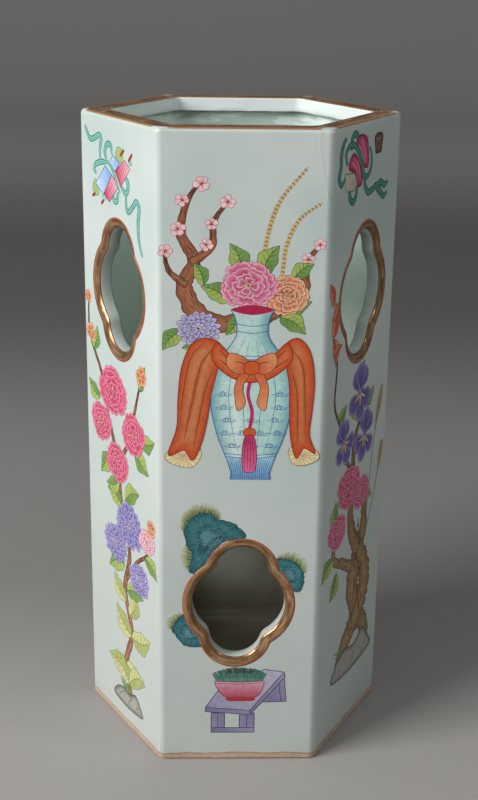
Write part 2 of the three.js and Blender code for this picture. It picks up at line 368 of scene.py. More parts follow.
def lining_tint(finish):
    """The inside: painted shade low down, browner at the floor, painted shade and painted reflections in
    streaks under the rim, painted light on the rim's inner face, painted shade in the floor's seam, and dirt
    with painted shadow in the rim's seam.
    """
    # painted shade: the lining darker lower down, with a wavering edge
    lower_shade_noise = finish.noise(1 / 30, detail=4, seed=5)
    lower_shade = finish.between(finish.z + LOWER_SHADE_WAVER * (lower_shade_noise - 0.5), *LOWER_SHADE_LEVELS)
    # painted shade in the seam over the floor
    floor_seam_shade = finish.between(finish.z, *FLOOR_SEAM_SHADE_ABOVE) * finish.between(finish.z, *FLOOR_SEAM_SHADE_BELOW)
    # streaks of painted shade and painted reflection under the rim
    shade_and_sheen_streaks = finish.noise(1 / 26, detail=3, stretch=(1, 1, 5), seed=14)
    under_rim = finish.between(finish.z, *UNDER_RIM_SHADE_AND_SHEEN)
    patchy = finish.between(finish.noise(1 / 7, detail=4, seed=17), 0.4, 0.6)
    # dirt and painted shadow in the seam under the rim
    rim_seam_dirt_and_shadow = finish.between(abs(finish.z - RIM_UNDERSIDE - 0.1), 0.7, 0.3)
    # the rim's inner face gets painted light, fading out towards its lower edge
    return finish.over(
        LINING, (lower_shade, LINING_LOW_SHADE), (finish.between(finish.z, *BROWNER), LINING_BROWN), (floor_seam_shade, FLOOR_SEAM_SHADE),
        (under_rim * finish.between(shade_and_sheen_streaks, 0.56, 0.46) * 0.8, LINING_SHADE),
        (under_rim * finish.between(shade_and_sheen_streaks, 0.56, 0.62) * 0.8, MOUTH_PAINTED_LIGHT),
        (finish.between(finish.z, *PAINTED_MOUTH_LIGHT_LEVELS), MOUTH_PAINTED_LIGHT), (rim_seam_dirt_and_shadow * (0.5 + 0.3 * patchy), RIM_SEAM_DIRT_AND_SHADOW))

def glaze_material():
    finish = Finish("glaze")
    masks = finish.node("ShaderNodeSeparateColor", {0: finish.attribute("finish", "Color")})
    lining, bare, reveal = (Value(finish, socket) for socket in masks.outputs)
    cloudy = finish.noise(1 / 45, detail=3)
    shaded = finish.between(finish.noise(1 / 12, detail=3, seed=15), 0.3, 0.7) * 0.5 + 0.4
    # painted shade at the top of the high windows' reveals
    reveal_top_shade = reveal * finish.between(finish.z + 8 * shaded, *SHADED_REVEAL_TOP)

    ragged = FOOT_WIPED + FOOT_WAVER * (finish.noise(1 / 9, detail=6, seed=9) - 0.5)
    bare = bare.larger(finish.between(finish.z - ragged, 0.15, -0.15) * (1 - lining))
    clay = finish.mix(finish.noise(1 / 2.5, detail=5, seed=2), BISCUIT, BISCUIT_PALE)
    burnt = finish.between(abs(finish.z - ragged + 0.35), 0.5, 0.1) * 0.6
    # the reveals get painted shade
    tint = finish.over(
        outer_tint(finish, cloudy), (lining, lining_tint(finish)), (reveal * shaded, REVEAL_SHADE),
        (reveal_top_shade * 0.8, REVEAL_TOP_SHADE), (bare, finish.mix(burnt, clay, BISCUIT_BURNT)))

    waves = finish.noise(1 / 28, detail=1, seed=4) * 0.8 + finish.noise(1 / 5, detail=2, seed=6) * 0.05
    waves = waves + lining * finish.noise(1 / 16, detail=2, seed=13) * 1.6
    waves = waves + reveal * finish.noise(1 / 8, detail=1, seed=16) * 1.2
    grain = finish.noise(1 / 0.6, detail=4, seed=8) * bare
    rough = 0.09 + 0.05 * cloudy + lining * 0.06 + bare * 0.55
    finish.set(base_color=tint, roughness=rough, normal=finish.bump(waves + grain * 0.2, WAVE_DEPTH))
    return finish.material

glaze = glaze_material()
print("nodes of the glaze:", len(glaze.node_tree.nodes))

# %% [markdown]
# ## The window outline
# Each window is a quatrefoil: two side lobes and two end lobes, with a small fillet in each
# cusp. An inset keeps every arc's middle and changes its radius, so outlines at different
# insets stay parallel, point for point.

# %% The window outline
WINDOW_WIDTH = 48
WINDOW_HEIGHT = 61
SIDE_LOBE = 21.5
END_LOBE = 15.25
CUSP_FILLET = 3
SIDE_LOBE_STEPS = 24
END_LOBE_STEPS = 28
CUSP_STEPS = 8

def window_outline(inset, tilt):
    side_reach = WINDOW_WIDTH / 2 - SIDE_LOBE
    end_reach = WINDOW_HEIGHT / 2 - END_LOBE
    to_side = SIDE_LOBE + CUSP_FILLET
    to_end = END_LOBE + CUSP_FILLET
    apart = math.hypot(side_reach, end_reach)
    along = (to_side ** 2 - to_end ** 2 + apart ** 2) / (2 * apart)
    off = math.sqrt(to_side ** 2 - along ** 2)
    cusp_x = side_reach - (along * side_reach - off * end_reach) / apart
    cusp_y = (along * end_reach + off * side_reach) / apart
    side_turn = math.atan2(cusp_y, cusp_x - side_reach)
    end_turn = math.atan2(cusp_y - end_reach, cusp_x)
    arcs = [
        (side_reach, 0, SIDE_LOBE - inset, -side_turn, side_turn, SIDE_LOBE_STEPS),
        (cusp_x, cusp_y, CUSP_FILLET + inset, side_turn + math.pi, end_turn + math.pi, CUSP_STEPS),
        (0, end_reach, END_LOBE - inset, end_turn, math.pi - end_turn, END_LOBE_STEPS),
        (-cusp_x, cusp_y, CUSP_FILLET + inset, -end_turn, -side_turn, CUSP_STEPS),
    ]
    half = []
    for x, y, radius, start, end, steps in arcs:
        turns = np.linspace(start, end, steps + 1)[:-1]
        half.append(np.stack([x + radius * np.cos(turns), y + radius * np.sin(turns)], 1))
    half = np.concatenate(half)
    outline = np.concatenate([half, -half])
    lean = math.radians(tilt)
    turn = np.array([[math.cos(lean), math.sin(lean)], [-math.sin(lean), math.cos(lean)]])
    return outline @ turn

print("window outline:", len(window_outline(0, 0)), "points")

# %% [markdown]
# ## The glazed body
# Once fired, the slabs, the rim and the luted seams are one glazed skin, so the body is one
# closed mesh. Most of it is rings: hexagons with rounded corners, joined from the middle of
# the underside out, up the walls, over the rim, down inside and back to the middle of the
# floor. Only the flat walls aren't rings. Each is a sheet of triangles round its window,
# and a tunnel of outlines joins the outer sheet to the inner one.

# %% Rings
def direction(angle):
    return np.array([math.cos(angle), math.sin(angle)])

def left_of(way):
    """A quarter turn anticlockwise."""
    return np.array([-way[1], way[0]])

def facing_angle(wall):
    return wall * SIDE_ANGLE - math.pi / 2

def hexagon_ring(apothem, rounding, level):
    """For each wall in turn, the arc of its left corner and then the points on its flat."""
    reach = (apothem - rounding) / math.cos(HALF_SIDE_ANGLE)
    half_flat = (apothem - rounding) * math.tan(HALF_SIDE_ANGLE)
    points = []
    for wall in range(SIDES):
        facing = facing_angle(wall)
        out = direction(facing)
        centre = reach * direction(facing - HALF_SIDE_ANGLE)
        for turn in np.linspace(facing - SIDE_ANGLE, facing, CORNER_STEPS + 1):
            points.append(centre + rounding * direction(turn))
        for share in np.linspace(-1, 1, FLAT_STEPS + 1)[1:-1]:
            points.append(apothem * out + share * half_flat * left_of(out))
    return [(x, y, level) for x, y in points]

def is_flat(index):
    return index % (CORNER_STEPS + FLAT_STEPS) >= CORNER_STEPS

class Skin:
    """Points and faces that are added bit by bit and merged where they meet."""

    def __init__(self):
        self.points = []
        self.faces = []

    def add(self, points, faces):
        start = len(self.points)
        self.points.extend(points)
        self.faces.extend(tuple(start + i for i in face) for face in faces)

    def band(self, lower, upper, pierced=False):
        count = len(lower)
        faces = [(i, (i + 1) % count, count + (i + 1) % count, count + i) for i in range(count)
            if not (pierced and is_flat(i))]
        self.add([*lower, *upper], faces)

    def rings(self, rings, pierced=False):
        for lower, upper in zip(rings, rings[1:]):
            self.band(lower, upper, pierced=pierced)

    def cap(self, ring, level, upwards):
        middle = len(ring)
        step = 1 if upwards else -1
        faces = [(i, (i + step) % middle, middle) for i in range(middle)[::step]]
        self.add([*ring, (0, 0, level)], faces)

def roll(radius, steps=ROLL_STEPS):
    """A quarter round as pairs: how far in from the face and how far up, face first."""
    return [(radius * (1 - math.cos(a)), radius * math.sin(a))
            for a in np.linspace(0, math.pi / 2, steps + 1)]

# %% Walls with windows
LIP_WIDTH = 3.7
LIP_DEPTH = 2.2
LIP_STEPS = 10
INNER_EDGE_ROLL = 1
WALL_DEPTH = APOTHEM - LINING_APOTHEM

def inside_outline(outline, points):
    """Whether each point lies inside a closed outline, by counting crossings."""
    x, y = points[:, :1], points[:, 1:]
    px, py = outline[:, 0], outline[:, 1]
    qx, qy = np.roll(px, -1), np.roll(py, -1)
    crosses = (py > y) != (qy > y)
    safe = np.where(crosses, qy - py, 1)
    return np.count_nonzero(crosses & (x < px + (y - py) * (qx - px) / safe), axis=1) % 2 == 1

def triangulate(loops, extra=()):
    """Triangles over closed loops of points and any extra points, as points and faces."""
    points = []
    edges = []
    for loop in loops:
        start = len(points)
        points.extend(Vector(p) for p in loop)
        edges.extend((start + i, start + (i + 1) % len(loop)) for i in range(len(loop)))
    points.extend(Vector(p) for p in extra)
    found, _, faces, *_ = delaunay_2d_cdt(points, edges, [], 0, 1e-5)
    return np.array([tuple(p) for p in found]), faces

def pierced_sheet(half_width, levels, window):
    """The flat of a wall with its window cut out, as points and triangles."""
    flats = np.linspace(-half_width, half_width, FLAT_STEPS + 1)
    border = [(u, levels[0]) for u in flats]
    border += [(half_width, v) for v in levels[1:-1]]
    border += [(u, levels[-1]) for u in flats[::-1]]
    border += [(-half_width, v) for v in levels[-2:0:-1]]
    points, faces = triangulate([border, window])
    faces = np.array(faces)
    return points, faces[~inside_outline(window, points[faces].mean(1))]

def on_wall(wall, points, depth):
    """Puts points drawn on a wall, across and up, at a depth behind its glazed face."""
    out = direction(facing_angle(wall))
    return [(*((APOTHEM - depth) * out + u * left_of(out)), v) for u, v in points]

def tunnel_outlines():
    """Inset and depth of each outline, from the outer face to the inner one."""
    lip = [(LIP_WIDTH * math.sin(a), LIP_DEPTH * (1 - math.cos(a)))
           for a in np.linspace(0, math.pi / 2, LIP_STEPS + 1)]
    edge = [(LIP_WIDTH - inward, WALL_DEPTH - INNER_EDGE_ROLL + rise)
            for inward, rise in roll(INNER_EDGE_ROLL, 4)]
    return lip + edge

def add_walls(skin, outer_levels, inner_levels):
    outer_half = (APOTHEM - CORNER_ROUNDING) * math.tan(HALF_SIDE_ANGLE)
    inner_half = (LINING_APOTHEM - LINING_ROUNDING) * math.tan(HALF_SIDE_ANGLE)
    outlines = tunnel_outlines()
    for wall, (_, level, tilt) in enumerate(WALLS):
        rings = [on_wall(wall, window_outline(inset, tilt) + (0, level), depth) for inset, depth in outlines]
        for outer, inner in zip(rings, rings[1:]):
            skin.band(outer, inner)
        for half, levels, (inset, depth) in (
                (outer_half, outer_levels, outlines[0]), (inner_half, inner_levels, outlines[-1])):
            window = window_outline(inset, tilt) + (0, level)
            points, faces = pierced_sheet(half, levels, window)
            skin.add(on_wall(wall, points, depth), faces)

# %% The glazed body
def body_skin():
    skin = Skin()
    under = [
        *[(LINING_APOTHEM * share, RECESS_ROUNDING, RECESS) for share in (0.25, 0.5, 0.75)],
        *[(LINING_APOTHEM - inward, RECESS_ROUNDING, RECESS - RECESS_FILLET + rise)
          for inward, rise in reversed(roll(RECESS_FILLET))],
        *[(LINING_APOTHEM + inward, RECESS_ROUNDING, FOOT_ROLL - rise)
          for inward, rise in roll(FOOT_ROLL)],
        (APOTHEM - FOOT_BEVEL, CORNER_ROUNDING - FOOT_BEVEL, 0),
        (APOTHEM, CORNER_ROUNDING, FOOT_BEVEL),
    ]
    rim = [
        *[(APOTHEM - inward, CORNER_ROUNDING - inward, TOP - RIM_OUTER_ROLL + rise)
          for inward, rise in roll(RIM_OUTER_ROLL)],
        *[(MOUTH_APOTHEM + inward, MOUTH_ROUNDING + inward, TOP - RIM_INNER_ROLL + rise)
          for inward, rise in reversed(roll(RIM_INNER_ROLL))],
        *[(MOUTH_APOTHEM + inward, MOUTH_ROUNDING + inward, RIM_UNDERSIDE + RIM_INNER_ROLL - rise)
          for inward, rise in roll(RIM_INNER_ROLL)],
        *[(LINING_APOTHEM - inward, LINING_ROUNDING - inward, RIM_UNDERSIDE - UNDERSIDE_FILLET + rise)
          for inward, rise in reversed(roll(UNDERSIDE_FILLET))],
    ]
    floor = [
        *[(LINING_APOTHEM - inward, LINING_ROUNDING - inward, BASE_TOP + BASE_FILLET - rise)
          for inward, rise in roll(BASE_FILLET)],
        *[(LINING_APOTHEM * share, CORNER_ROUNDING, BASE_TOP) for share in (0.6, 0.3)],
    ]
    under, rim, floor = ([hexagon_ring(*row) for row in rows] for rows in (under, rim, floor))
    skin.cap(under[0], RECESS, upwards=False)
    for rings in (under, rim, floor):
        skin.rings(rings)
    skin.cap(floor[-1], BASE_TOP, upwards=True)

    outer_levels = np.linspace(FOOT_BEVEL, TOP - RIM_OUTER_ROLL, WALL_ROWS + 1)
    inner_levels = np.linspace(RIM_UNDERSIDE - UNDERSIDE_FILLET, BASE_TOP + BASE_FILLET, WALL_ROWS + 1)
    skin.rings([hexagon_ring(APOTHEM, CORNER_ROUNDING, z) for z in outer_levels], pierced=True)
    skin.rings([hexagon_ring(LINING_APOTHEM, LINING_ROUNDING, z) for z in inner_levels], pierced=True)
    add_walls(skin, outer_levels, inner_levels)
    return skin

def apothem_of(points):
    """How far out a point lies, measured square to the nearest wall."""
    angles = [facing_angle(wall) for wall in range(SIDES)]
    return np.max([points[:, 0] * math.cos(a) + points[:, 1] * math.sin(a) for a in angles], axis=0)

def points_of(mesh):
    flat = np.empty(len(mesh.vertices) * 3)
    mesh.vertices.foreach_get("co", flat)
    return flat.reshape(-1, 3) / MM

def paint_values(mesh, name, values):
    layer = mesh.attributes.new(name, "FLOAT", "POINT")
    layer.data.foreach_set("value", np.asarray(values, float))

def paint_points(mesh, name, colours):
    layer = mesh.attributes.new(name, "FLOAT_COLOR", "POINT")
    layer.data.foreach_set("color", np.asarray(colours, float).ravel())

skin = body_skin()
body = make_piece("glazed_body", skin.points, skin.faces, glaze)
places = points_of(body.data)
level = places[:, 2]
out = apothem_of(places)
in_pot = (level > RECESS + 1) & (level < RIM_UNDERSIDE + 0.1)
in_mouth = (level > RIM_UNDERSIDE) & (level < TOP - 0.01)
is_lining = ((out < LINING_APOTHEM + 0.01) & in_pot) | ((out < MOUTH_APOTHEM + RIM_INNER_ROLL) & in_mouth)
is_bare = (level < RECESS + 0.1) & (out < APOTHEM - FOOT_BEVEL / 2)
is_reveal = (out > LINING_APOTHEM + 0.5) & (out < APOTHEM - LIP_DEPTH)
is_reveal &= (level > BASE_TOP) & (level < RIM_UNDERSIDE - UNDERSIDE_FILLET)
whole = np.ones(len(places))
paint_points(body.data, "finish", np.stack([is_lining, is_bare, is_reveal, whole], 1))
weigh_normals(body)

shape = bmesh.new()
shape.from_mesh(body.data)
loose = sum(not edge.is_manifold for edge in shape.edges)
print("open edges:", loose, "volume:", round(shape.calc_volume() / MM ** 3), "cubic mm")
shape.free()
report(body)

# %% [markdown]
# ## The rim's enamel
# The flat of the rim wears a coat of iron-brown enamel, brushed along each side. It is tan
# where it thins over the outer edge, rubbed to pale patches, and worn through to the glaze
# at the outer corners. The coat is a closed loop of hexagon rings: over the rim outside,
# and sunk into it below.

# %% The rim's enamel
COAT = 0.12
COAT_ROOT = 0.5
RIM_COAT_START = math.radians(52)
RIM_COAT_END = math.radians(48)
CORNER_WEAR = 9
STREAK_COUNT = 9
STREAK_LENGTH = 16
RIM_DARK = colour(88, 64, 48)
RIM_BROWN = colour(142, 110, 82)
RIM_TAN = colour(176, 130, 82)
RIM_INNER_TAN = colour(168, 128, 88)
RIM_WORN = colour(196, 168, 142)

def rim_coat_rings():
    def outer(radius, turn):
        across = APOTHEM - RIM_OUTER_ROLL + radius * math.cos(turn)
        rounding = CORNER_ROUNDING - APOTHEM + across
        return hexagon_ring(across, rounding, TOP - RIM_OUTER_ROLL + radius * math.sin(turn))

    def inner(radius, turn):
        across = MOUTH_APOTHEM + RIM_INNER_ROLL - radius * math.cos(turn)
        rounding = MOUTH_ROUNDING - MOUTH_APOTHEM + across
        return hexagon_ring(across, rounding, TOP - RIM_INNER_ROLL + radius * math.sin(turn))

    quarter = math.pi / 2
    over = [outer(RIM_OUTER_ROLL + COAT, a) for a in np.linspace(RIM_COAT_START, quarter, ROLL_STEPS)]
    outermost, innermost = APOTHEM - RIM_OUTER_ROLL, MOUTH_APOTHEM + RIM_INNER_ROLL
    outer_rounding, inner_rounding = CORNER_ROUNDING - RIM_OUTER_ROLL, MOUTH_ROUNDING + RIM_INNER_ROLL
    for share in (0.1, 0.3, 0.5, 0.7, 0.9):
        across = outermost - share * (outermost - innermost)
        rounding = (1 - share) * outer_rounding + share * inner_rounding
        over.append(hexagon_ring(across, rounding, TOP + COAT))
    over += [inner(RIM_INNER_ROLL + COAT, a) for a in np.linspace(quarter, RIM_COAT_END, ROLL_STEPS)]
    under = [inner(0, 0), outer(0, 0), outer(RIM_OUTER_ROLL - COAT_ROOT, RIM_COAT_START)]
    return over + under

def nearness_to_corner(points, reach):
    """1 at a corner's line and 0 from reach onwards."""
    distances = []
    for corner in range(SIDES):
        line = direction(corner * SIDE_ANGLE)
        along = points[:, :2] @ line
        aside = np.linalg.norm(points[:, :2] - np.outer(along, line), axis=1)
        distances.append(np.where(along > 0, aside, reach))
    return np.clip(1 - np.min(distances, axis=0) / reach, 0, 1)

def rim_material():
    finish = Finish("rim_brown")
    across = Value(finish, finish.attribute("across"))
    corner = Value(finish, finish.attribute("corner"))
    fine = finish.noise(1 / 3, detail=5, seed=1)
    bristles = finish.value("ShaderNodeTexNoise", {
        "Vector": finish.place, "W": across * (STREAK_COUNT * STREAK_LENGTH * MM),
        "Scale": 1 / (STREAK_LENGTH * MM), "Detail": 3}, noise_dimensions="4D")
    streaks = bristles * 0.7 + fine * 0.3
    uneven = streaks - 0.5
    cloudy = finish.noise(1 / 12, detail=3, seed=2)
    brown = finish.mix(finish.between(streaks, 0.4, 0.6), RIM_DARK, RIM_BROWN)
    tan = finish.between(across + 0.22 * uneven, 0.3, 0.16)
    inner = finish.between(across + 0.1 * uneven, 0.86, 0.95)
    worn = finish.between(fine * 0.5 + streaks * 0.3 + cloudy * 0.5 + corner * 0.08, 0.74, 0.84)
    bare = finish.between(corner - across * 1.5 + 0.5 * uneven, 0.4, 0.5)
    brown = finish.over(
        brown, (tan * 0.8, RIM_TAN), (inner * 0.7, RIM_INNER_TAN), (worn * 0.6, RIM_WORN), (bare, GLAZE))
    finish.shader.inputs["Specular IOR Level"].default_value = 0.2
    finish.set(base_color=brown, roughness=0.34 + 0.25 * streaks, normal=finish.bump(streaks, 0.08))
    return finish.material

rim_skin = Skin()
coat_rings = rim_coat_rings()
rim_skin.rings([*coat_rings, coat_rings[0]])
rim_coat = make_piece("rim_enamel", rim_skin.points, rim_skin.faces, rim_material())
places = points_of(rim_coat.data)
paint_values(rim_coat.data, "across", (APOTHEM - apothem_of(places)) / (RIM_WIDTH - COAT_ROOM))
paint_values(rim_coat.data, "corner", nearness_to_corner(places, CORNER_WEAR))
weigh_normals(rim_coat)
report(rim_coat)

# %% [markdown]
# ## Sweeps
# A gilder runs a brush round each window. Geometry Nodes do the same: a tree turns a line
# into a curve and sweeps part of an ellipse along it, closed through the ellipse's middle,
# which lies in the clay. One tree serves the gilt lips, the fine red lines round them and
# every brush stroke of the painting, with the sizes as its named inputs. A line drawn
# anticlockwise has the ellipse's X side away from its middle and its Y side into the wall.

# %% Sweeps
class Tree(Nodes):
    """A Geometry Nodes tree with named inputs."""

    def __init__(self, name, inputs):
        self.group = bpy.data.node_groups.new(name, "GeometryNodeTree")
        super().__init__(self.group)
        sockets = [("Geometry", "INPUT", "Geometry"), ("Geometry", "OUTPUT", "Geometry")]
        sockets += [(title, "INPUT", kind) for title, kind in inputs.items()]
        for title, side, kind in sockets:
            self.group.interface.new_socket(title, in_out=side, socket_type="NodeSocket" + kind)
        self.inputs = self.node("NodeGroupInput", {}).outputs

    def named(self, geometry, name, value):
        """Keeps a number of each point under a name."""
        kept = self.node("GeometryNodeStoreNamedAttribute", {
            "Geometry": geometry, "Name": name, "Value": value}, data_type="FLOAT", domain="POINT")
        return kept.outputs[0]

    def finish_with(self, geometry, material):
        real = self.node("GeometryNodeRealizeInstances", {0: geometry})
        dressed = self.node("GeometryNodeSetMaterial", {"Geometry": real.outputs[0], "Material": material})
        self.node("NodeGroupOutput", {0: dressed.outputs[0]})
        return self.group

def sweep_tree():
    tree = Tree("sweep", {
        "Width": "Float", "Depth": "Float", "Start Angle": "Float", "Sweep Angle": "Float",
        "Steps": "Int", "Solid": "Bool", "Material": "Material"})
    given = tree.inputs
    line = tree.node("GeometryNodeMeshToCurve", {0: given["Geometry"]})
    upright = tree.node("GeometryNodeSetCurveNormal", {0: line.outputs[0]}, mode="Z_UP")
    along = tree.node("GeometryNodeSplineParameter", {})
    arc = tree.node("GeometryNodeCurveArc", {
        "Resolution": given["Steps"], "Radius": 1, "Start Angle": given["Start Angle"],
        "Sweep Angle": given["Sweep Angle"], "Connect Center": given["Solid"]}, mode="RADIUS")
    size = tree.node("ShaderNodeCombineXYZ", {"X": given["Width"], "Y": given["Depth"], "Z": 1})
    sized = tree.node("GeometryNodeTransform", {"Geometry": arc.outputs[0], "Scale": size.outputs[0]})
    last = tree.node("ShaderNodeMath", {0: given["Steps"], 1: 1}, operation="SUBTRACT")
    share = tree.node("ShaderNodeMath", {0: along.outputs["Index"], 1: last.outputs[0]}, operation="DIVIDE")
    pressure = tree.node("GeometryNodeInputNamedAttribute", {"Name": "pressure"}, data_type="FLOAT")
    swept = tree.node("GeometryNodeCurveToMesh", {
        "Curve": tree.named(upright.outputs[0], "along", along.outputs["Length"]),
        "Profile Curve": tree.named(sized.outputs[0], "across", share.outputs[0]),
        "Scale": pressure.outputs[0], "Fill Caps": True})
    smooth = tree.node("GeometryNodeSetShadeSmooth", {0: swept.outputs[0]})
    return tree.finish_with(smooth.outputs[0], given["Material"])

SWEEP = sweep_tree()
print("nodes of the sweep:", len(SWEEP.nodes))

def wall_matrix(wall, level=0):
    """From a drawing on a wall, in millimetres with x across, y up and z out, to the room."""
    stand = Matrix(((1, 0, 0), (0, 0, -1), (0, 1, 0))).to_4x4()
    place = Matrix.Translation((0, -APOTHEM, level)) @ stand
    return Matrix.Scale(MM, 4) @ Matrix.Rotation(wall * SIDE_ANGLE, 4, "Z") @ place

def sweep(name, lines, place, material, width, depth, start, turn, steps, closed=False, solid=True):
    """lines holds the lines to follow: points, the pressure at each point, and its colour."""
    points, edges, pressures, colours = [], [], [], []
    for line, line_pressures, line_colours in lines:
        first = len(points)
        points.extend(line)
        pressures.extend(line_pressures)
        colours.extend(line_colours)
        edges.extend((first + i, first + i + 1) for i in range(len(line) - 1))
        if closed:
            edges.append((len(points) - 1, first))
    mesh = bpy.data.meshes.new(name)
    mesh.from_pydata([tuple(p) for p in points], edges, [])
    paint_values(mesh, "pressure", pressures)
    paint_points(mesh, "enamel", colours)
    obj = link(bpy.data.objects.new(name, mesh))
    modifier = obj.modifiers.new("sweep", "NODES")
    modifier.node_group = SWEEP
    settings = {"Width": width, "Depth": depth, "Start Angle": math.radians(start),
        "Sweep Angle": math.radians(turn), "Steps": steps, "Solid": solid, "Material": material}
    for item in SWEEP.interface.items_tree:
        if item.in_out == "INPUT" and item.name in settings:
            modifier[item.identifier] = settings[item.name]
    settle(obj)
    obj.data.transform(place)
    return obj

# %% [markdown]
# ## Gilt window lips
# The gold lies on the broad roll of each lip, over the face and part of the way in, and ends
# in an uneven edge. It is brushed, so it is streaked along the lip, with a darker crease
# where the two strokes meet, and the iron-red ground shows where it is rubbed. A fine
# iron-red line, drawn first, edges it outside.

# %% Gilt window lips
GILT_START = -8
GILT_END = 72
GILT_STEPS = 12
RED_LINE_OUT = 0.5
RED_LINE_WIDTH = 0.36
RED_LINE_DEPTH = 0.08
WHITE = (1, 1, 1, 1)
IRON_RED = colour(196, 74, 56)
IRON_RED_THIN = colour(160, 76, 58)
GOLD = colour(194, 156, 112)
GOLD_SHADE = colour(130, 90, 58)
GOLD_INNER = colour(134, 92, 58)
GOLD_CREASE = colour(78, 54, 38)
GOLD_END = colour(150, 78, 52)
GOLD_WORN = colour(162, 108, 78)

def gilt_material():
    finish = Finish("gilding")
    across = Value(finish, finish.attribute("across"))
    along = Value(finish, finish.attribute("along"))
    line = finish.node("ShaderNodeCombineXYZ", {"X": along / 9, "Y": across * 3, "Z": 0})
    streak = finish.value("ShaderNodeTexNoise", {"Vector": line.outputs[0], "Scale": 1, "Detail": 5})
    blotch = finish.noise(1 / 7, detail=4, seed=3)
    gold = finish.mix(finish.between(streak, 0.36, 0.64), GOLD, GOLD_SHADE)
    drift = across + 0.16 * (streak - 0.5)
    inner_stroke = finish.between(drift, 0.36, 0.22)
    crease = finish.between(abs(drift - 0.34), 0.1, 0.02)
    ends = finish.between(drift, 0.1, 0.03).larger(finish.between(drift, 0.9, 0.97))
    worn = finish.between(blotch * 0.7 + streak * 0.5, 0.68, 0.8)
    gold = finish.over(
        gold, (inner_stroke * 0.5, GOLD_INNER), (crease * 0.8, GOLD_CREASE), (ends * 0.75, GOLD_END),
        (worn * 0.7, GOLD_WORN))
    metal = 0.6 * (1 - worn * 0.8) * (1 - crease * 0.6) * (1 - ends)
    finish.set(base_color=gold, metallic=metal, roughness=0.12 + 0.2 * blotch,
        normal=finish.bump(streak * 0.6 + blotch, 0.3))
    return finish.material

def red_line_material():
    finish = Finish("iron_red_line")
    ink = finish.noise(1 / 4, detail=4)
    tone = finish.mix(finish.between(ink, 0.3, 0.7), IRON_RED, IRON_RED_THIN)
    finish.set(base_color=tone, roughness=0.3 + 0.2 * ink)
    return finish.material

RED_LINE_FOOT = COAT_ROOM / 10

def along_window(name, wall, inset, height, material, *section):
    """A sweep along an outline of a wall's window; section is its width, depth, start, turn and steps."""
    _, level, tilt = WALLS[wall]
    outline = [(x, y, height) for x, y in window_outline(inset, tilt)]
    lines = [(outline, [1] * len(outline), [WHITE] * len(outline))]
    return sweep(name, lines, wall_matrix(wall, level), material, *section, closed=True)

gilding = gilt_material()
red_ink = red_line_material()
lips = []
for wall, (name, *_) in enumerate(WALLS):
    lips.append(along_window("gilt_lip_" + name, wall, 0, -LIP_DEPTH, gilding, LIP_WIDTH + COAT,
        LIP_DEPTH + COAT, 270 - GILT_END, GILT_END - GILT_START, GILT_STEPS))
    lips.append(along_window("red_line_" + name, wall, -RED_LINE_OUT, -RED_LINE_FOOT, red_ink,
        RED_LINE_WIDTH, RED_LINE_DEPTH + RED_LINE_FOOT, 180, 180, 5))
report(lips[0])
report(lips[1])

# %% [markdown]
# ## Painting in enamels
# The painter lays thin washes of coloured glass over the fired glaze, one over the other, and
# draws fine lines on them. Here a wash is a patch: a closed outline filled with small
# triangles, whose points carry the tone, so that a wash can pool darker at its rim or fade
# from base to tip. A line is a sweep with the brush's pressure at each point. Each element
# lies a few thousandths of a millimetre above those that it covers, like the real coats.

# %% Patches and strokes
FILL_SPACING = 1.2
LINE_SPACING = 0.8
LOWEST_LAYER = 0.02
LAYER_ROOM = 0.22
SKIRT_DEPTH = 0.05
STROKE_FLATNESS = 0.0015
ENAMEL_SHADE = (0.72, 0.72, 0.74, 1)

def curve(points, closed=False, spacing=LINE_SPACING):
    """A smooth line through the points."""
    points = np.asarray(points, float)
    if closed:
        around = np.concatenate([points[-1:], points, points[:2]])
    else:
        around = np.concatenate([2 * points[:1] - points[1:2], points, 2 * points[-1:] - points[-2:-1]])
    samples = []
    for a, b, c, d in zip(around, around[1:], around[2:], around[3:]):
        steps = max(1, round(float(np.linalg.norm((c - b)[:2])) / spacing))
        t = np.arange(steps)[:, None] / steps
        samples.append(b + (c - a) * t / 2 + (2 * a - 5 * b + 4 * c - d) * t ** 2 / 2
            + (3 * b - a - 3 * c + d) * t ** 3 / 2)
    if not closed:
        samples.append(points[-1:])
    return np.concatenate(samples)

def rim_distance(outline, points):
    offsets = points[:, None, :] - outline[None, :, :]
    return np.sqrt((offsets ** 2).sum(2).min(1))

def fill(outline, spacing):
    low, high = outline.min(0), outline.max(0)
    rows = enumerate(np.arange(low[1], high[1], spacing * math.sqrt(3) / 2))
    grid = [(x + (k % 2) * spacing / 2, y) for k, y in rows for x in np.arange(low[0], high[0], spacing)]
    grid = np.array(grid)
    kept = inside_outline(outline, grid) & (rim_distance(outline, grid) > spacing / 2)
    points, faces = triangulate([outline], grid[kept])
    faces = np.array(faces)
    faces = faces[inside_outline(outline, points[faces].mean(1))]
    a, b, c = (points[faces[:, k]] for k in range(3))
    facing_in = (b - a)[:, 0] * (c - a)[:, 1] < (b - a)[:, 1] * (c - a)[:, 0]
    faces[facing_in] = faces[facing_in][:, ::-1]
    return points, faces

def stroke(points, width, start=0.4, end=0.15, closed=False, smooth=True):
    """A line as rows of x, y and half width, thinner at its ends."""
    line = curve(points, closed) if smooth else np.asarray(points, float)
    if closed:
        line = np.concatenate([line, line[:1]])
        start = end = 1
    share = np.linspace(0, 1, len(line))
    pressure = np.interp(share, (0, 0.25, 0.7, 1), (start, 1, 1, end))
    return np.column_stack([line, width / 2 * pressure])

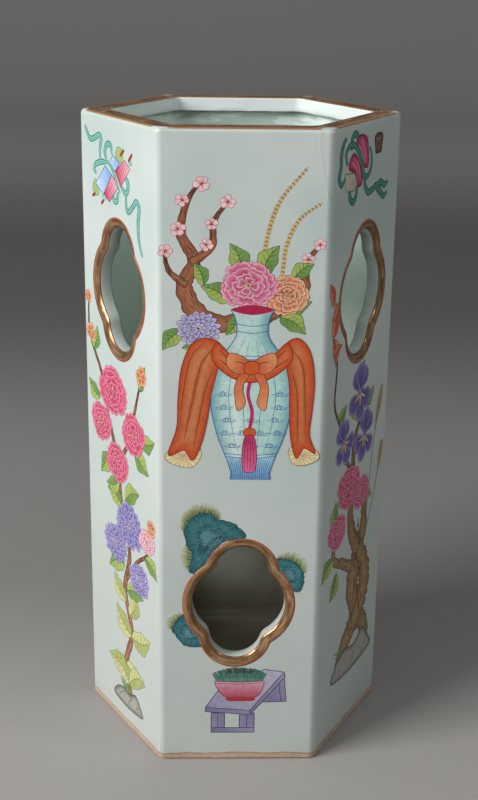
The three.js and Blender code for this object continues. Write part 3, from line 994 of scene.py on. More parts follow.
class Painting:
    """The enamels of one wall, in millimetres from the foot's middle, each over the last."""

    def __init__(self):
        self.boxes = []
        self.patches = []
        self.strokes = []

    def layer(self, points):
        """One layer above all that the points' box touches."""
        low, high = points.min(0), points.max(0)
        under = [level for a, b, level in self.boxes if (a < high).all() and (b > low).all()]
        level = 1 + max(under, default=0)
        self.boxes.append((low, high, level))
        return level

    def patch(self, outline, shade, spacing=FILL_SPACING):
        outline = np.asarray(outline, float)
        points, faces = fill(outline, spacing)
        tones = shade(points, rim_distance(outline, points))
        self.patches.append((points, faces, tones, outline, self.layer(outline)))

    def brush(self, lines, ink):
        level = self.layer(np.concatenate(lines)[:, :2])
        self.strokes.append((lines, ink, level))

    def lines(self, paths, width, ink, start=0.4, end=0.15):
        """Strokes of one width and one ink, all on one layer."""
        self.brush([stroke(path, width, start, end) for path in paths], ink)

    def line(self, path, width, ink, start=0.4, end=0.15):
        self.lines([path], width, ink, start, end)

    def edge(self, outline, width, ink):
        """A line of even width round a shape."""
        self.brush([stroke(outline, width, closed=True, smooth=False)], ink)

    def washed(self, outline, shade, ink, width=0.28):
        """A patch with a line drawn round it."""
        outline = curve(outline, closed=True)
        self.patch(outline, shade)
        self.edge(outline, width, ink)

def nearest(points, targets):
    offsets = targets[:, None, :] - points[None, :, :]
    return (offsets ** 2).sum(2).argmin(1)

def signed_area(outline):
    x, y = outline[:, 0], outline[:, 1]
    return float((x * np.roll(y, -1) - y * np.roll(x, -1)).sum() / 2)

def patches_mesh(painting, step):
    """All patches as one list, each with a narrow skirt down into the glaze."""
    points, faces, tones = [], [], []
    for found, triangles, colours, outline, level in painting.patches:
        height = LOWEST_LAYER + level * step
        start = len(points)
        points.extend((x, y, height) for x, y in found)
        tones.extend(colours)
        faces.extend(tuple(start + i for i in face) for face in triangles.tolist())
        start, count = len(points), len(outline)
        points.extend((x, y, height) for x, y in outline)
        points.extend((x, y, -SKIRT_DEPTH) for x, y in outline)
        rim_tones = [colours[k] for k in nearest(found, outline)]
        tones.extend(rim_tones + rim_tones)
        turning = signed_area(outline) > 0
        for i in range(count):
            j = (i + 1) % count
            side = (start + i, start + count + i, start + count + j, start + j)
            faces.append(side if turning else side[::-1])
    return points, faces, tones

def enamel_material():
    finish = Finish("enamel")
    tone = finish.attribute("enamel", "Color")
    pooled_enamel = finish.noise(1 / 2.2, detail=4, seed=11)
    fine = finish.noise(1 / 0.7, detail=3, seed=12)
    darker = finish.mix(1, tone, ENAMEL_SHADE, "MULTIPLY")
    share = finish.between(pooled_enamel * 0.6 + fine * 0.4, 0.42, 0.62) * 0.55
    finish.set(base_color=finish.mix(share, tone, darker), roughness=0.14 + 0.16 * fine,
        normal=finish.bump(pooled_enamel * 0.7 + fine * 0.3, 0.1))
    return finish.material

enamel = enamel_material()
print("nodes of the enamel:", len(enamel.node_tree.nodes))

def fire(painting, name, wall, mirrored=False):
    """Turns a painting into its two pieces: the washes and the brushwork."""
    step = LAYER_ROOM / max(level for *_, level in painting.patches + painting.strokes)
    place = wall_matrix(wall)
    if mirrored:
        place = place @ Matrix.Scale(-1, 4, (1, 0, 0))
    points, faces, tones = patches_mesh(painting, step)
    washes = make_piece("washes_" + name, points, faces, enamel, merge=False)
    paint_points(washes.data, "enamel", tones)
    washes.data.transform(place @ Matrix.Scale(1 / MM, 4))
    lines = []
    for group, ink, level in painting.strokes:
        height = LOWEST_LAYER + level * step
        lines.extend(([(x, y, height) for x, y, _ in line], line[:, 2], [ink] * len(line)) for line in group)
    brushwork = sweep(
        "brushwork_" + name, lines, place, enamel, 1, STROKE_FLATNESS, 180, 180, 3, solid=False)
    for piece in (washes, brushwork):
        if mirrored:
            piece.data.flip_normals()
        report(piece)
    return [washes, brushwork]

# %% Tones and how they run
PETAL_RIM = 0.8

def mixed(first, second, share):
    """A tone for each share; first and second are one tone or a tone for each share."""
    share = np.clip(share, 0, 1)[:, None]
    return np.array(first) * (1 - share) + np.array(second) * share

def flat(tone):
    return lambda points, rim: np.tile(tone, (len(points), 1))

def pooled(middle, edge, reach):
    """One tone in the middle and another along the rim."""
    return lambda points, rim: mixed(edge, middle, rim / reach)

def fading(start, end, first, second):
    """One tone at start and another at end."""
    run = np.subtract(end, start)
    return lambda points, rim: mixed(first, second, (points - np.array(start)) @ run / (run @ run))

def glowing(centre, near, far, first, second, rim_tone):
    """One tone near a place and another far from it, with a third along the rim."""
    def shade(points, rim):
        away = np.linalg.norm(points - np.array(centre), axis=1)
        return mixed(rim_tone, mixed(first, second, (away - near) / (far - near)), rim / PETAL_RIM)
    return shade

def placed(points, x, y, size, turn=0, squash=1):
    """A drawing round its own middle, turned, squashed in height, sized and moved."""
    across, up = direction(turn), left_of(direction(turn))
    turned = np.asarray(points, float) @ np.array([across, up])
    return turned * (size, size * squash) + (x, y)

TEAL, TEAL_DEEP, TEAL_PALE = colour(58, 122, 126), colour(28, 80, 90), colour(122, 170, 172)
MOSS = colour(168, 174, 122)
ROSE_PALE, ROSE, CRIMSON = colour(248, 196, 210), colour(226, 92, 138), colour(184, 30, 74)
LILAC, VIOLET, INDIGO = colour(188, 180, 222), colour(124, 108, 184), colour(66, 58, 130)
SKY_PALE, SKY, COBALT = colour(220, 236, 250), colour(128, 174, 228), colour(64, 108, 180)
TURQUOISE, TURQUOISE_DEEP, CELADON = colour(142, 206, 192), colour(56, 138, 124), colour(186, 224, 218)
ORANGE_PALE, ORANGE, RUST = colour(236, 156, 104), colour(212, 94, 42), colour(138, 50, 26)
BARK_PALE, BARK, BARK_DEEP = colour(176, 122, 84), colour(130, 78, 50), colour(70, 40, 28)
STRAW, STRAW_DEEP = colour(214, 190, 134), colour(140, 104, 60)
LEAF_PALE, LEAF, LEAF_DEEP = colour(178, 196, 100), colour(104, 150, 76), colour(38, 88, 58)
CREAM, INK = colour(240, 232, 206), colour(54, 46, 48)

# %% [markdown]
# ## The rocks, the bowl and the table
# Under the main painting of the front wall are traditional things: blue-green rocks with
# moss round the window, and a table with a bowl of grass. The rocks have a swirl of pale
# lines, and the moss is dabbed on with the tip of the brush.

# %% The rocks, the bowl and the table
def rock(painting, outline, middle, size):
    chance = random.Random(int(size * 100))
    middle = np.array(middle, float)
    def shade(points, rim):
        tones = mixed(TEAL_DEEP, TEAL, rim / 3.5)
        return mixed(tones, TEAL_PALE, 0.4 * np.exp(-((points - middle) ** 2).sum(1) / size ** 2))
    ragged = [point + (chance.uniform(-0.3, 0.3), chance.uniform(-0.3, 0.3))
        for point in curve(outline, closed=True, spacing=1.1)]
    painting.patch(ragged, shade)
    edge = curve(outline, closed=True, spacing=0.7)
    for ink, width, near, far in ((TEAL, 0.5, 0.4, 1.04), (TEAL_DEEP, 0.3, 0.62, 1.06),
            (TEAL_PALE, 0.16, 0.35, 0.8), (TEAL, 0.4, 0.25, 0.9), (TEAL_DEEP, 0.2, 0.25, 0.6)):
        streaks = []
        for point in edge:
            run = point - middle
            start = middle + run * near * chance.uniform(0.9, 1.4)
            end = middle + run * far * chance.uniform(0.8, 1)
            bow = (start + end) / 2 + left_of(run) * chance.uniform(-0.05, 0.05)
            streaks.append(stroke([start, bow, end], width, 0.3, 0.6))
        painting.brush(streaks[::4] if ink is TEAL_PALE else streaks, ink)
    swirls = []
    for k, reach in enumerate((0.4, 0.75, 1.1, 1.5)):
        turns = np.linspace(0.4 + k, 5.9 + k, 14)
        ring = np.stack([np.cos(turns) * size * reach, np.sin(turns) * size * reach * 0.6], 1)
        ring += [(chance.uniform(-0.2, 0.2), chance.uniform(-0.2, 0.2)) for _ in ring]
        swirls.append(stroke(ring + middle, 0.22, 0.3, 0.2))
    painting.brush(swirls, colour(118, 158, 176))

def moss(painting, line, depth, middle, seed):
    """Moss along a rock's edge: a soft wash, and fine dabs growing away from the rock."""
    chance = random.Random(seed)
    middle = np.array(middle, float)
    edge = curve(line, spacing=0.5)
    away = edge - middle
    away /= np.linalg.norm(away, axis=1)[:, None]
    swell = np.sin(np.linspace(0.5, math.pi - 0.5, len(edge)))[:, None]
    bank = np.concatenate([edge - away * 2.5, (edge + away * depth * swell)[::-1]])
    def shade(points, rim):
        reach = np.sqrt(((points[:, None] - edge[None]) ** 2).sum(2)).min(1)
        return mixed(MOSS, GLAZE, reach / depth * 0.9 + 0.1)
    painting.patch(bank, shade, 0.9)
    for reach, width, ink in ((0.95, 0.3, MOSS), (0.6, 0.3, colour(140, 150, 96)), (0.3, 0.26, LEAF_DEEP)):
        dabs = []
        for point, way, tall in zip(edge, away, swell[:, 0]):
            for _ in range(2):
                foot = point + left_of(way) * chance.uniform(-0.4, 0.4)
                tip = foot + way * depth * reach * tall * chance.uniform(0.5, 1.05)
                dabs.append(stroke([foot - way * 0.8, (foot + tip) / 2, tip], width, 1, 0.4))
        painting.brush(dabs[::3] if reach < 0.5 else dabs, ink)

def rocks(painting):
    moss(painting, [(-24, 114), (-22.6, 118.6), (-19, 122), (-13, 122.6), (-9, 119.8)], 4.6, (-16, 108), 1)
    moss(painting, [(-21.6, 106.5), (-21.6, 101), (-21.4, 96)], 4.2, (-12, 101), 2)
    moss(painting, [(17, 100.4), (21.5, 100.6), (25.5, 98.4), (28, 94)], 4.2, (20, 90), 3)
    moss(painting, [(-29.4, 66.5), (-27.4, 71), (-24.5, 73.2)], 4, (-20, 64), 4)
    rock(painting, [
        (-24, 112.8), (-23.3, 116), (-20.7, 120), (-16.3, 122.5), (-12.3, 122), (-9.7, 119.5), (-5.7, 118.5),
        (-1.7, 116.8), (1.3, 113.8), (2.7, 110.8), (-1.7, 109.8), (-6.3, 108.8), (-9.7, 105.5), (-13, 101.5),
        (-15.7, 96.8), (-19.7, 93.5), (-21.7, 94.8), (-21.3, 98.8), (-20.7, 102.8), (-22.7, 106.8)],
        (-13.7, 111.2), 4.4)
    rock(painting, [
        (16, 100.8), (20.3, 100.8), (23.7, 99.5), (27, 96.1), (28.3, 92.8), (28, 87.5), (25.7, 84.5),
        (23, 86.1), (20.3, 89.5), (17.7, 93.5), (16, 96.8)], (22, 93.6), 3)
    rock(painting, [
        (-29.3, 66.1), (-28.3, 69.5), (-25, 73.5), (-23, 72.8), (-20.7, 68.8), (-17.7, 63.5), (-15, 60.1),
        (-15.7, 58.1), (-21.7, 57.8), (-25, 59.5), (-27.7, 63.5)], (-22.2, 65), 3)

def straight_sided(corners, steps):
    """An outline with straight sides, each in steps, for a patch to follow."""
    sides = zip(corners, np.roll(corners, -1, 0))
    return np.concatenate([np.linspace(a, b, steps + 1)[:-1] for a, b in sides])

def table(painting):
    wood, shade, light = colour(156, 152, 180), colour(126, 118, 156), colour(190, 187, 208)
    line = colour(66, 56, 94)
    def board(corners, tone=shade, second=wood):
        outline = straight_sided(corners, 7)
        painting.patch(outline, fading(corners[0], corners[2], tone, second))
        painting.edge(outline, 0.36, line)
    board([(11, 29.8), (22, 30.1), (20.7, 43.8), (9.5, 41)])
    painting.line([(18.4, 40.5), (19, 35), (19.7, 29.8)], 0.28, line, 1, 1)
    for left, right in ((-11.7, -5.7), (1, 7.7)):
        board([(left, 14.4), (right, 14.4), (right, 24.3), (left, 24.3)], wood, shade)
        middle = (left + right) / 2
        painting.line([(middle, 14.6), (middle, 19), (middle, 24)], 0.24, line, 1, 1)
    board([(-11.7, 14.2), (7.7, 14.2), (7.7, 16.6), (-11.7, 16.6)])
    board([(-14.3, 27.1), (5.7, 25.5), (20.7, 45.1), (11.7, 46.5), (-8.8, 35.6)], wood, light)
    board([(-14.3, 27.1), (-14.3, 24.9), (5.9, 23.4), (5.7, 25.5)])
    board([(5.7, 25.5), (5.9, 23.4), (21.2, 42.6), (20.7, 45.1)])

def bowl(painting):
    chance = random.Random(5)
    for ink, width, count, half, low in (
            (LEAF_DEEP, 0.8, 44, 11, 0), (colour(96, 148, 128), 0.5, 40, 11, 0.05),
            (colour(58, 112, 98), 0.4, 40, 11, 0.3), (BARK_DEEP, 0.42, 16, 6, 0.62)):
        blades = []
        for share in np.linspace(-1, 1, count):
            x = 0.8 + half * share + chance.uniform(-0.2, 0.2)
            dome = 7.6 * (1 - 0.8 * ((x - 0.8) / 12) ** 2) ** 0.5 * chance.uniform(0.9, 1.02)
            lean = (x - 0.8) * 0.1
            foot, tip = 40 + dome * low, 40 + dome
            blades.append(stroke([(x - lean, foot), (x - lean * 0.2, (foot + tip) / 2), (x + lean, tip)],
                width, 1, 0.5))
        painting.brush(blades, ink)
    side = [(-10.3, 40.6), (-9.7, 38), (-7.6, 34.6), (-4.2, 32), (7, 32), (10.3, 34.8), (11.6, 38),
        (11.9, 40.6)]
    cup = np.concatenate([curve(side), curve([(11.9, 40.6), (1, 40.1), (-10.3, 40.6)])[1:-1]])
    painting.patch(cup, fading((0, 32), (0, 40), colour(190, 62, 84), colour(217, 166, 184)))
    lip = [(-10.2, 39.6), (1, 39.1), (11.8, 39.6)]
    lines = [stroke(cup, 0.32, closed=True, smooth=False), stroke(lip, 0.22, 1, 1)]
    painting.brush(lines, colour(120, 34, 66))
    ribs = [[(x, 39), (x * 0.9, 35.8), (x * 0.72 + 0.3, 32.6)] for x in np.linspace(-8.5, 9.5, 15)]
    painting.lines(ribs, 0.2, colour(194, 84, 112), 0.4, 0.3)
    foot_ring = [(-4.4, 32), (7.1, 32), (6.6, 30.6), (-3.9, 30.6)]
    painting.washed(foot_ring, flat(colour(178, 46, 58)), RUST, 0.25)

# %% [markdown]
# ## Ribboned scrolls
# Near the top of the side walls float bundles of scrolls tied with turquoise ribbon, an old
# emblem of learning, and on the right wall a small cup. A ribbon is three strokes: a broad
# dark one, a paler one in it, and a fine dark line along its middle.

# %% Ribboned scrolls
def ribbon(painting, strands, width=2.6, pale=TURQUOISE, deep=TURQUOISE_DEEP):
    painting.lines(strands, width, deep, 0.6, 0.5)
    painting.lines(strands, width * 0.55, pale, 0.5, 0.4)
    painting.lines(strands, width * 0.12, deep, 0.5, 0.2)

def parcel(painting, corners, pale, deep, line):
    outline = straight_sided(corners, 5)
    painting.patch(outline, fading(corners[0], corners[2], pale, deep), 0.9)
    a, b, c, d = np.array(corners, float)
    shares = np.linspace(0.12, 0.88, 6)
    creases = [np.linspace(a * (1 - s) + d * s, b * (1 - s) + c * s, 5) for s in shares]
    painting.lines(creases, 0.24, deep, 0.3, 0.3)
    painting.edge(outline, 0.34, line)

def left_scrolls(painting):
    ribbon(painting, [
        [(-29.5, 278.3), (-25, 273.5), (-20.5, 274), (-16, 275.8), (-14, 274.3), (-15.2, 269.8),
         (-15, 264.8)],
        [(-9, 265.3), (-15, 264.6), (-20, 262.8), (-21, 260.3), (-19, 259.3)],
        [(-9.5, 266.3), (-10.5, 269.8), (-8.5, 272.8), (-5, 272.8), (-4, 269)],
        [(4, 256.8), (8.5, 254.8), (10.5, 257.8), (9.5, 260.3), (6, 262)],
        [(8.5, 254.8), (8.5, 249.8), (10, 247.3), (14, 249.8), (17.5, 252.8), (20, 250.3), (19, 244.8),
         (19.5, 237.3), (22.5, 230.8)],
        [(1, 254.3), (0, 250.3), (-3, 250.3), (-3.5, 254)]])
    blue = (SKY_PALE, SKY, colour(64, 84, 140))
    pink = (ROSE_PALE, colour(190, 30, 80), colour(120, 30, 70))
    end_green = colour(166, 190, 124)
    for tone, ink, outlines in (
            (end_green, LEAF_DEEP, (
                [(-0.8, 270.4), (1.6, 273), (5.6, 272), (6, 268.6), (3, 266.4), (0.4, 267.4)],
                [(-23, 252.4), (-22, 255.4), (-19.6, 256.6), (-16.6, 251.6), (-18.6, 249.8),
                 (-21.4, 250.2)])),
            (TURQUOISE, TURQUOISE_DEEP, (
                [(10.8, 268.8), (12.6, 269.6), (14, 267.4), (12, 266.6)],
                [(-14, 250.4), (-11.6, 251.4), (-9.8, 249.6), (-12, 248.8)]))):
        for outline in outlines:
            painting.washed(outline, flat(tone), ink, 0.2)
    for start, end in (((3.7, 269.6), (7.2, 272.4)), ((11, 268.2), (14.4, 271.6)),
            ((-20.4, 250.4), (-23.6, 249)), ((-12.4, 248.8), (-15, 246.8))):
        painting.line(np.linspace(start, end, 4), 1.5, colour(160, 62, 40), 0.9, 0.8)
    parcel(painting, [(-7.5, 265), (-3, 269), (3, 266.4), (-1, 262.6)], *blue)
    parcel(painting, [(-20, 254.8), (-10.5, 263.6), (-4.6, 260.6), (-12.6, 251.2)], *blue)
    parcel(painting, [(12.3, 265.3), (7.5, 268.4), (-1.2, 262.6), (3.6, 256.6)], *pink)
    parcel(painting, [(1.4, 256.4), (-4.4, 260.6), (-12.4, 251.6), (-7, 248.8)], *pink)
    ribbon(painting, [[(-9, 265.8), (-4, 263.3), (0, 257.8), (3, 254)]], 1.9)

def right_scrolls(painting):
    tones = {"pale": colour(96, 172, 150), "deep": colour(26, 98, 84)}
    ribbon(painting, [
        [(-23.2, 280), (-26, 277.3), (-27.5, 273.8), (-27.7, 268.3), (-29, 264.8), (-26.5, 261.3),
         (-23, 263.8)],
        [(-17.5, 274.3), (-17.6, 278.6), (-14.5, 280.6), (-12, 278.8), (-13.5, 274)],
        [(-4, 262.8), (-2.5, 257.8), (1, 254.8), (5, 255.3), (10, 256.8), (14.5, 254.8)],
        [(10, 256.4), (14, 257.4), (18, 255.6), (22, 256.6)],
        [(9, 255.6), (14, 253), (18, 250.8), (21.5, 252.2)],
        [(-18, 259), (-17.8, 255.2), (-14.4, 252.9), (-11.6, 255.4), (-10.8, 259.6)]], 3, **tones)
    line = colour(110, 24, 62)
    rolls = (
        ([(-12.5, 277.8), (-9, 279.8), (-2.5, 278), (-0.6, 273), (0, 266.3), (-4, 266), (-9.4, 272)],
         ([(-11.6, 276.6), (-7, 272), (-3.4, 267)], [(-8, 278.4), (-4.6, 273), (-1.6, 267)])),
        ([(-17.4, 272.3), (-13.5, 272.4), (-9, 268.3), (-6, 263.4), (-6.2, 259.4), (-10, 258.8),
          (-13, 264.2), (-20, 267.3)],
         ([(-17.6, 270), (-12.6, 266.4), (-9.8, 260.4)], [(-14, 271), (-9.6, 266.4), (-7.6, 260.6)])))
    for outline, sheen in rolls:
        painting.washed(outline, pooled(ROSE, colour(168, 18, 66), 2.6), line, 0.36)
        painting.lines(sheen, 0.9, colour(236, 150, 182), 0.2, 0.2)
    plain = (CREAM, colour(206, 190, 160), colour(96, 72, 56))
    parcel(painting, [(-23, 265.4), (-13.5, 264.8), (-12, 257.4), (-22, 258.2)], *plain)
    tie = [(-21.5, 268.8), (-23, 273.8), (-18.5, 276.6), (-13.5, 275.3), (-9, 271.3), (-6.5, 267.8),
        (-4.5, 262.8), (-0.5, 261.8), (3, 265.3), (2.5, 271), (0.5, 273.6)]
    ribbon(painting, [tie], 2.7, **tones)

def cup_mark(painting):
    cup = [(5.8, 277.3), (10, 278.6), (14.3, 277.3), (13.6, 272), (12.9, 270.3), (7.4, 270.3), (6.8, 272)]
    painting.washed(cup, pooled(colour(128, 92, 80), colour(84, 54, 48), 1.6), BARK_DEEP, 0.3)
    painting.line([(7.6, 276.6), (10, 275.8), (12.6, 276.6)], 0.8, colour(168, 140, 128), 0.4, 0.4)

# %% [markdown]
# ## Flowers, leaves and branches
# The large paintings are made of a few motifs that the enamellers knew by heart. A flower is
# rings of petals, laid from the outermost inwards; each petal is pale at its tip, deep near
# the heart, and veined. A leaf has a light and a dark half. Small chance changes, from a
# fixed seed, keep any two flowers from being alike.

# %% Flowers, leaves and branches
PEONY_PETAL = [(0.05, 0), (0.3, 0.22), (0.62, 0.44), (0.86, 0.43), (1, 0.27), (0.94, 0.1), (1.03, -0.05),
    (0.96, -0.2), (0.9, -0.42), (0.6, -0.45), (0.3, -0.2)]
SLIM_PETAL = [(0.05, 0), (0.4, 0.12), (0.8, 0.17), (1, 0.06), (1.04, -0.03), (0.85, -0.17), (0.4, -0.12)]
ROUND_PETAL = [(0.1, 0), (0.35, 0.34), (0.7, 0.46), (1, 0.3), (1.04, 0), (1, -0.3), (0.7, -0.46),
    (0.35, -0.34)]

def flower(painting, x, y, size, petal, rings, tones, ink, squash, seed, veins=3):
    """rings holds, for each ring of petals: how many, how long and how broad."""
    chance = random.Random(seed)
    pale, deep, rim_tone = tones
    for count, reach, breadth in rings:
        first = chance.uniform(0, 2 * math.pi)
        for k in range(count):
            turn = first + (k + chance.uniform(-0.16, 0.16)) * 2 * math.pi / count
            long = reach * chance.uniform(0.9, 1.08)
            shape = np.array(petal) * (long, breadth * chance.uniform(0.88, 1.1))
            shape += [(chance.uniform(-0.02, 0.02), chance.uniform(-0.02, 0.02)) for _ in shape]
            outline = curve(placed(shape, x, y, size, turn, squash), closed=True)
            tone = glowing((x, y), size * reach * 0.3, size * reach * 0.95, deep, pale, rim_tone)
            painting.patch(outline, tone)
            lines = [stroke(outline, 0.2, closed=True, smooth=False)]
            for k_vein in range(veins):
                aside = (k_vein + 1) / (veins + 1) - 0.5
                vein = [(0.3 * long, aside * 0.3 * breadth), (0.6 * long, aside * 0.75 * breadth),
                        (0.88 * long, aside * breadth)]
                lines.append(stroke(placed(vein, x, y, size, turn, squash), 0.2, 0.9, 0.1))
            painting.brush(lines, ink)

def dots(painting, places, size, ink):
    dabs = [[(x - size / 3, y), (x, y + size / 8), (x + size / 3, y)] for x, y in places]
    painting.lines(dabs, size, ink, 0.8, 0.8)

def heart(painting, x, y, size, seed):
    chance = random.Random(seed)
    turns = [chance.uniform(0, 2 * math.pi) for _ in range(12)]
    places = [(x + size * chance.uniform(0.2, 1) * math.cos(a), y + size * 0.8 * math.sin(a)) for a in turns]
    dots(painting, places, size * 0.35, colour(232, 190, 70))
    dots(painting, places[:5], size * 0.2, RUST)

PEONY_INK = colour(160, 36, 84)
PEONY_TONES = (ROSE_PALE, CRIMSON, colour(252, 222, 228))

def peony(painting, x, y, size, tones=PEONY_TONES, ink=PEONY_INK, seed=0):
    rings = ((8, 1, 0.95), (7, 0.8, 0.82), (5, 0.58, 0.66), (4, 0.38, 0.46))
    flower(painting, x, y, size, PEONY_PETAL, rings, tones, ink, 0.86, seed)
    heart(painting, x, y, size * 0.13, seed)

def chrysanthemum(painting, x, y, size, tones=(LILAC, INDIGO, colour(214, 208, 236)), seed=0):
    rings = ((17, 1, 1.05), (15, 0.8, 0.95), (11, 0.58, 0.8), (8, 0.36, 0.6))
    flower(painting, x, y, size, SLIM_PETAL, rings, tones, INDIGO, 0.82, seed, veins=1)
    heart(painting, x, y, size * 0.13, seed)

FIVE_PETALS = ((5, 1, 0.95),)

def blossom(painting, x, y, size, seed):
    tones = (colour(252, 236, 236), colour(240, 170, 184), colour(250, 214, 220))
    ink = colour(196, 84, 110)
    flower(painting, x, y, size, ROUND_PETAL, FIVE_PETALS, tones, ink, 0.9, seed, veins=0)
    chance = random.Random(seed)
    tips = placed([(math.cos(a) * 0.42, math.sin(a) * 0.42) for a in np.linspace(0, 5.4, 8)], x, y, size)
    painting.lines([[(x, y), ((x + tip[0]) / 2, (y + tip[1]) / 2), tip] for tip in tips], 0.16, RUST, 1, 1)
    dots(painting, [tuple(tip) for tip in tips if chance.random() < 0.8], 0.45, colour(226, 178, 60))

def leaf(painting, x, y, length, turn, bend, width=0.3, tones=(LEAF_PALE, LEAF, LEAF_DEEP)):
    pale, deep, ink = tones
    def height(share):
        return bend * math.sin(math.pi * share)
    def side(way):
        rows = []
        for share in np.linspace(0, 1, 9):
            reach = way * width * math.sin(math.pi * share ** 0.8) * (1 + 0.1 * math.sin(14 * share))
            rows.append((share, reach + height(share)))
        return rows
    middle = [(share, height(share)) for share in np.linspace(0, 1, 7)]
    far, near = side(1), side(-1)
    for way, tone, second in ((far, pale, deep), (near, deep, pale)):
        half = np.concatenate([curve(placed(way, x, y, length, turn), spacing=1),
            curve(placed(middle, x, y, length, turn), spacing=1)[-2:0:-1]])
        tip = placed([(1, 0)], x, y, length, turn)[0]
        painting.patch(half, fading((x, y), tip, tone, mixed(tone, second, np.array([0.35]))[0]))
    veins = [stroke(placed(middle, x, y, length, turn), 0.3, 1, 0.3)]
    for share in (0.25, 0.42, 0.58, 0.74):
        root = height(share)
        for way in (1, -1):
            reach = way * width * 0.75 * math.sin(math.pi * (share + 0.1) ** 0.8)
            vein = [(share, root), (share + 0.06, root + reach / 2), (share + 0.15, root + reach)]
            veins.append(stroke(placed(vein, x, y, length, turn), 0.18, 0.9, 0.2))
    rim = np.concatenate([curve(placed(far, x, y, length, turn)),
        curve(placed(near, x, y, length, turn))[::-1]])
    painting.brush([*veins, stroke(rim, 0.22, 0.8, 0.8, smooth=False)], ink)

def leaves(painting, rows, bend=0.12, **looks):
    """Leaves from rows of x, y, length and turn, bent to one side and the other by turns."""
    for k, row in enumerate(rows):
        leaf(painting, *row, bend if k % 2 else -bend, **looks)

def branch(painting, rows, tones=(BARK_PALE, BARK, BARK_DEEP), seed=0, rough=0.12):
    """A gnarled branch along rows of x, y and width."""
    pale, deep, ink = tones
    chance = random.Random(seed)
    line = curve(rows, spacing=1.4)
    along = np.gradient(line[:, :2], axis=0)
    along /= np.linalg.norm(along, axis=1)[:, None]
    aside = np.stack([-along[:, 1], along[:, 0]], 1)
    widths = line[:, 2:] / 2
    left, right = ([p + way * n * w * chance.uniform(1 - rough, 1 + rough)
        for p, n, w in zip(line[:, :2], aside, widths)] for way in (1, -1))
    outline = curve([*left, *right[::-1]], closed=True, spacing=0.9)
    painting.patch(outline, pooled(pale, deep, max(0.6, float(widths.max()) * 0.7)))
    lines = [stroke(outline, 0.28, closed=True, smooth=False)]
    for _ in range(int(len(line) * 1.3)):
        k = chance.randrange(len(line) - 3)
        shift = chance.uniform(-0.7, 0.7)
        bark = [line[i, :2] + aside[i] * widths[i] * shift for i in range(k, k + 3)]
        lines.append(stroke(bark, 0.22, 0.3, 0.2))
    painting.brush(lines, ink)

def barred_reed(painting, points):
    width = 1.9
    painting.line(points, width, STRAW, 1, 0.35)
    line = curve(points, spacing=1.7)
    bars = []
    for before, point, after in zip(line, line[1:], line[2:]):
        along = (after - before) / np.linalg.norm(after - before)
        across = left_of(along) * width * 0.4
        bars.append(stroke([point - across, point + along * 0.35, point + across], 0.5, 0.7, 0.7))
    painting.brush(bars, STRAW_DEEP)

def grass(painting, x, y, reach, blades, ink=LEAF, seed=0):
    chance = random.Random(seed)
    lines = []
    for _ in range(blades):
        turn = chance.uniform(-0.5, 0.5)
        long = reach * chance.uniform(0.6, 1)
        foot = x + chance.uniform(-0.12, 0.12) * reach
        lines.append(stroke([(foot, y), (foot + math.sin(turn) * long * 0.4, y + long * 0.6),
            (foot + math.sin(turn * 1.7) * long * 0.9, y + math.cos(turn) * long)], 0.7, 0.8, 0.1))
    painting.brush(lines, ink)

# %% [markdown]
# ## The vase of the front wall
# The large painting of the front wall is a generic one in the old taste: a celadon vase with
# cloud scrolls, wrapped in an iron-red cloth, and holding a gnarled prunus, peonies, a
# chrysanthemum and barred reeds. The two low-windowed walls at the back have it too.

# %% The vase of the front wall
VASE_MIDDLE = 4
VASE_PROFILE = [(8.6, 138), (8.2, 141), (10.4, 148), (13.8, 157), (16.4, 168), (16.8, 178), (15, 187),
    (10.6, 194.5), (7, 200), (6.3, 204.5), (7.2, 209), (9, 212)]

def cloud(painting, x, y, size, flip):
    def curl(cx, cy, reach, start, turn):
        share = np.linspace(0, 1, 11)
        spiral = reach * (1 - 0.8 * share)
        return np.stack([flip * (cx + spiral * np.cos(start + turn * share)),
            cy + spiral * np.sin(start + turn * share)], 1)
    lines = [
        curl(-0.62, 0, 0.42, -1.6, 7), curl(0.62, 0.02, 0.42, 4.7, -7), curl(0, 0.26, 0.4, -0.6, 6.4),
        [(-1.1, -0.4), (-0.4, -0.5), (0.4, -0.46), (1.2, -0.54), (1.9, -0.4)],
        [(1.1, -0.2), (1.6, -0.16), (2.1, -0.02)], [(-1.1, -0.12), (-1.5, -0.2), (-1.9, -0.12)]]
    painting.lines([placed(line, x, y, size) for line in lines], 0.3, COBALT, 0.8, 0.4)

def vase_outline(rows):
    right = curve([(VASE_MIDDLE + x, y) for x, y in rows])
    left = curve([(VASE_MIDDLE - x, y) for x, y in rows])
    return np.concatenate([right, left[::-1]])

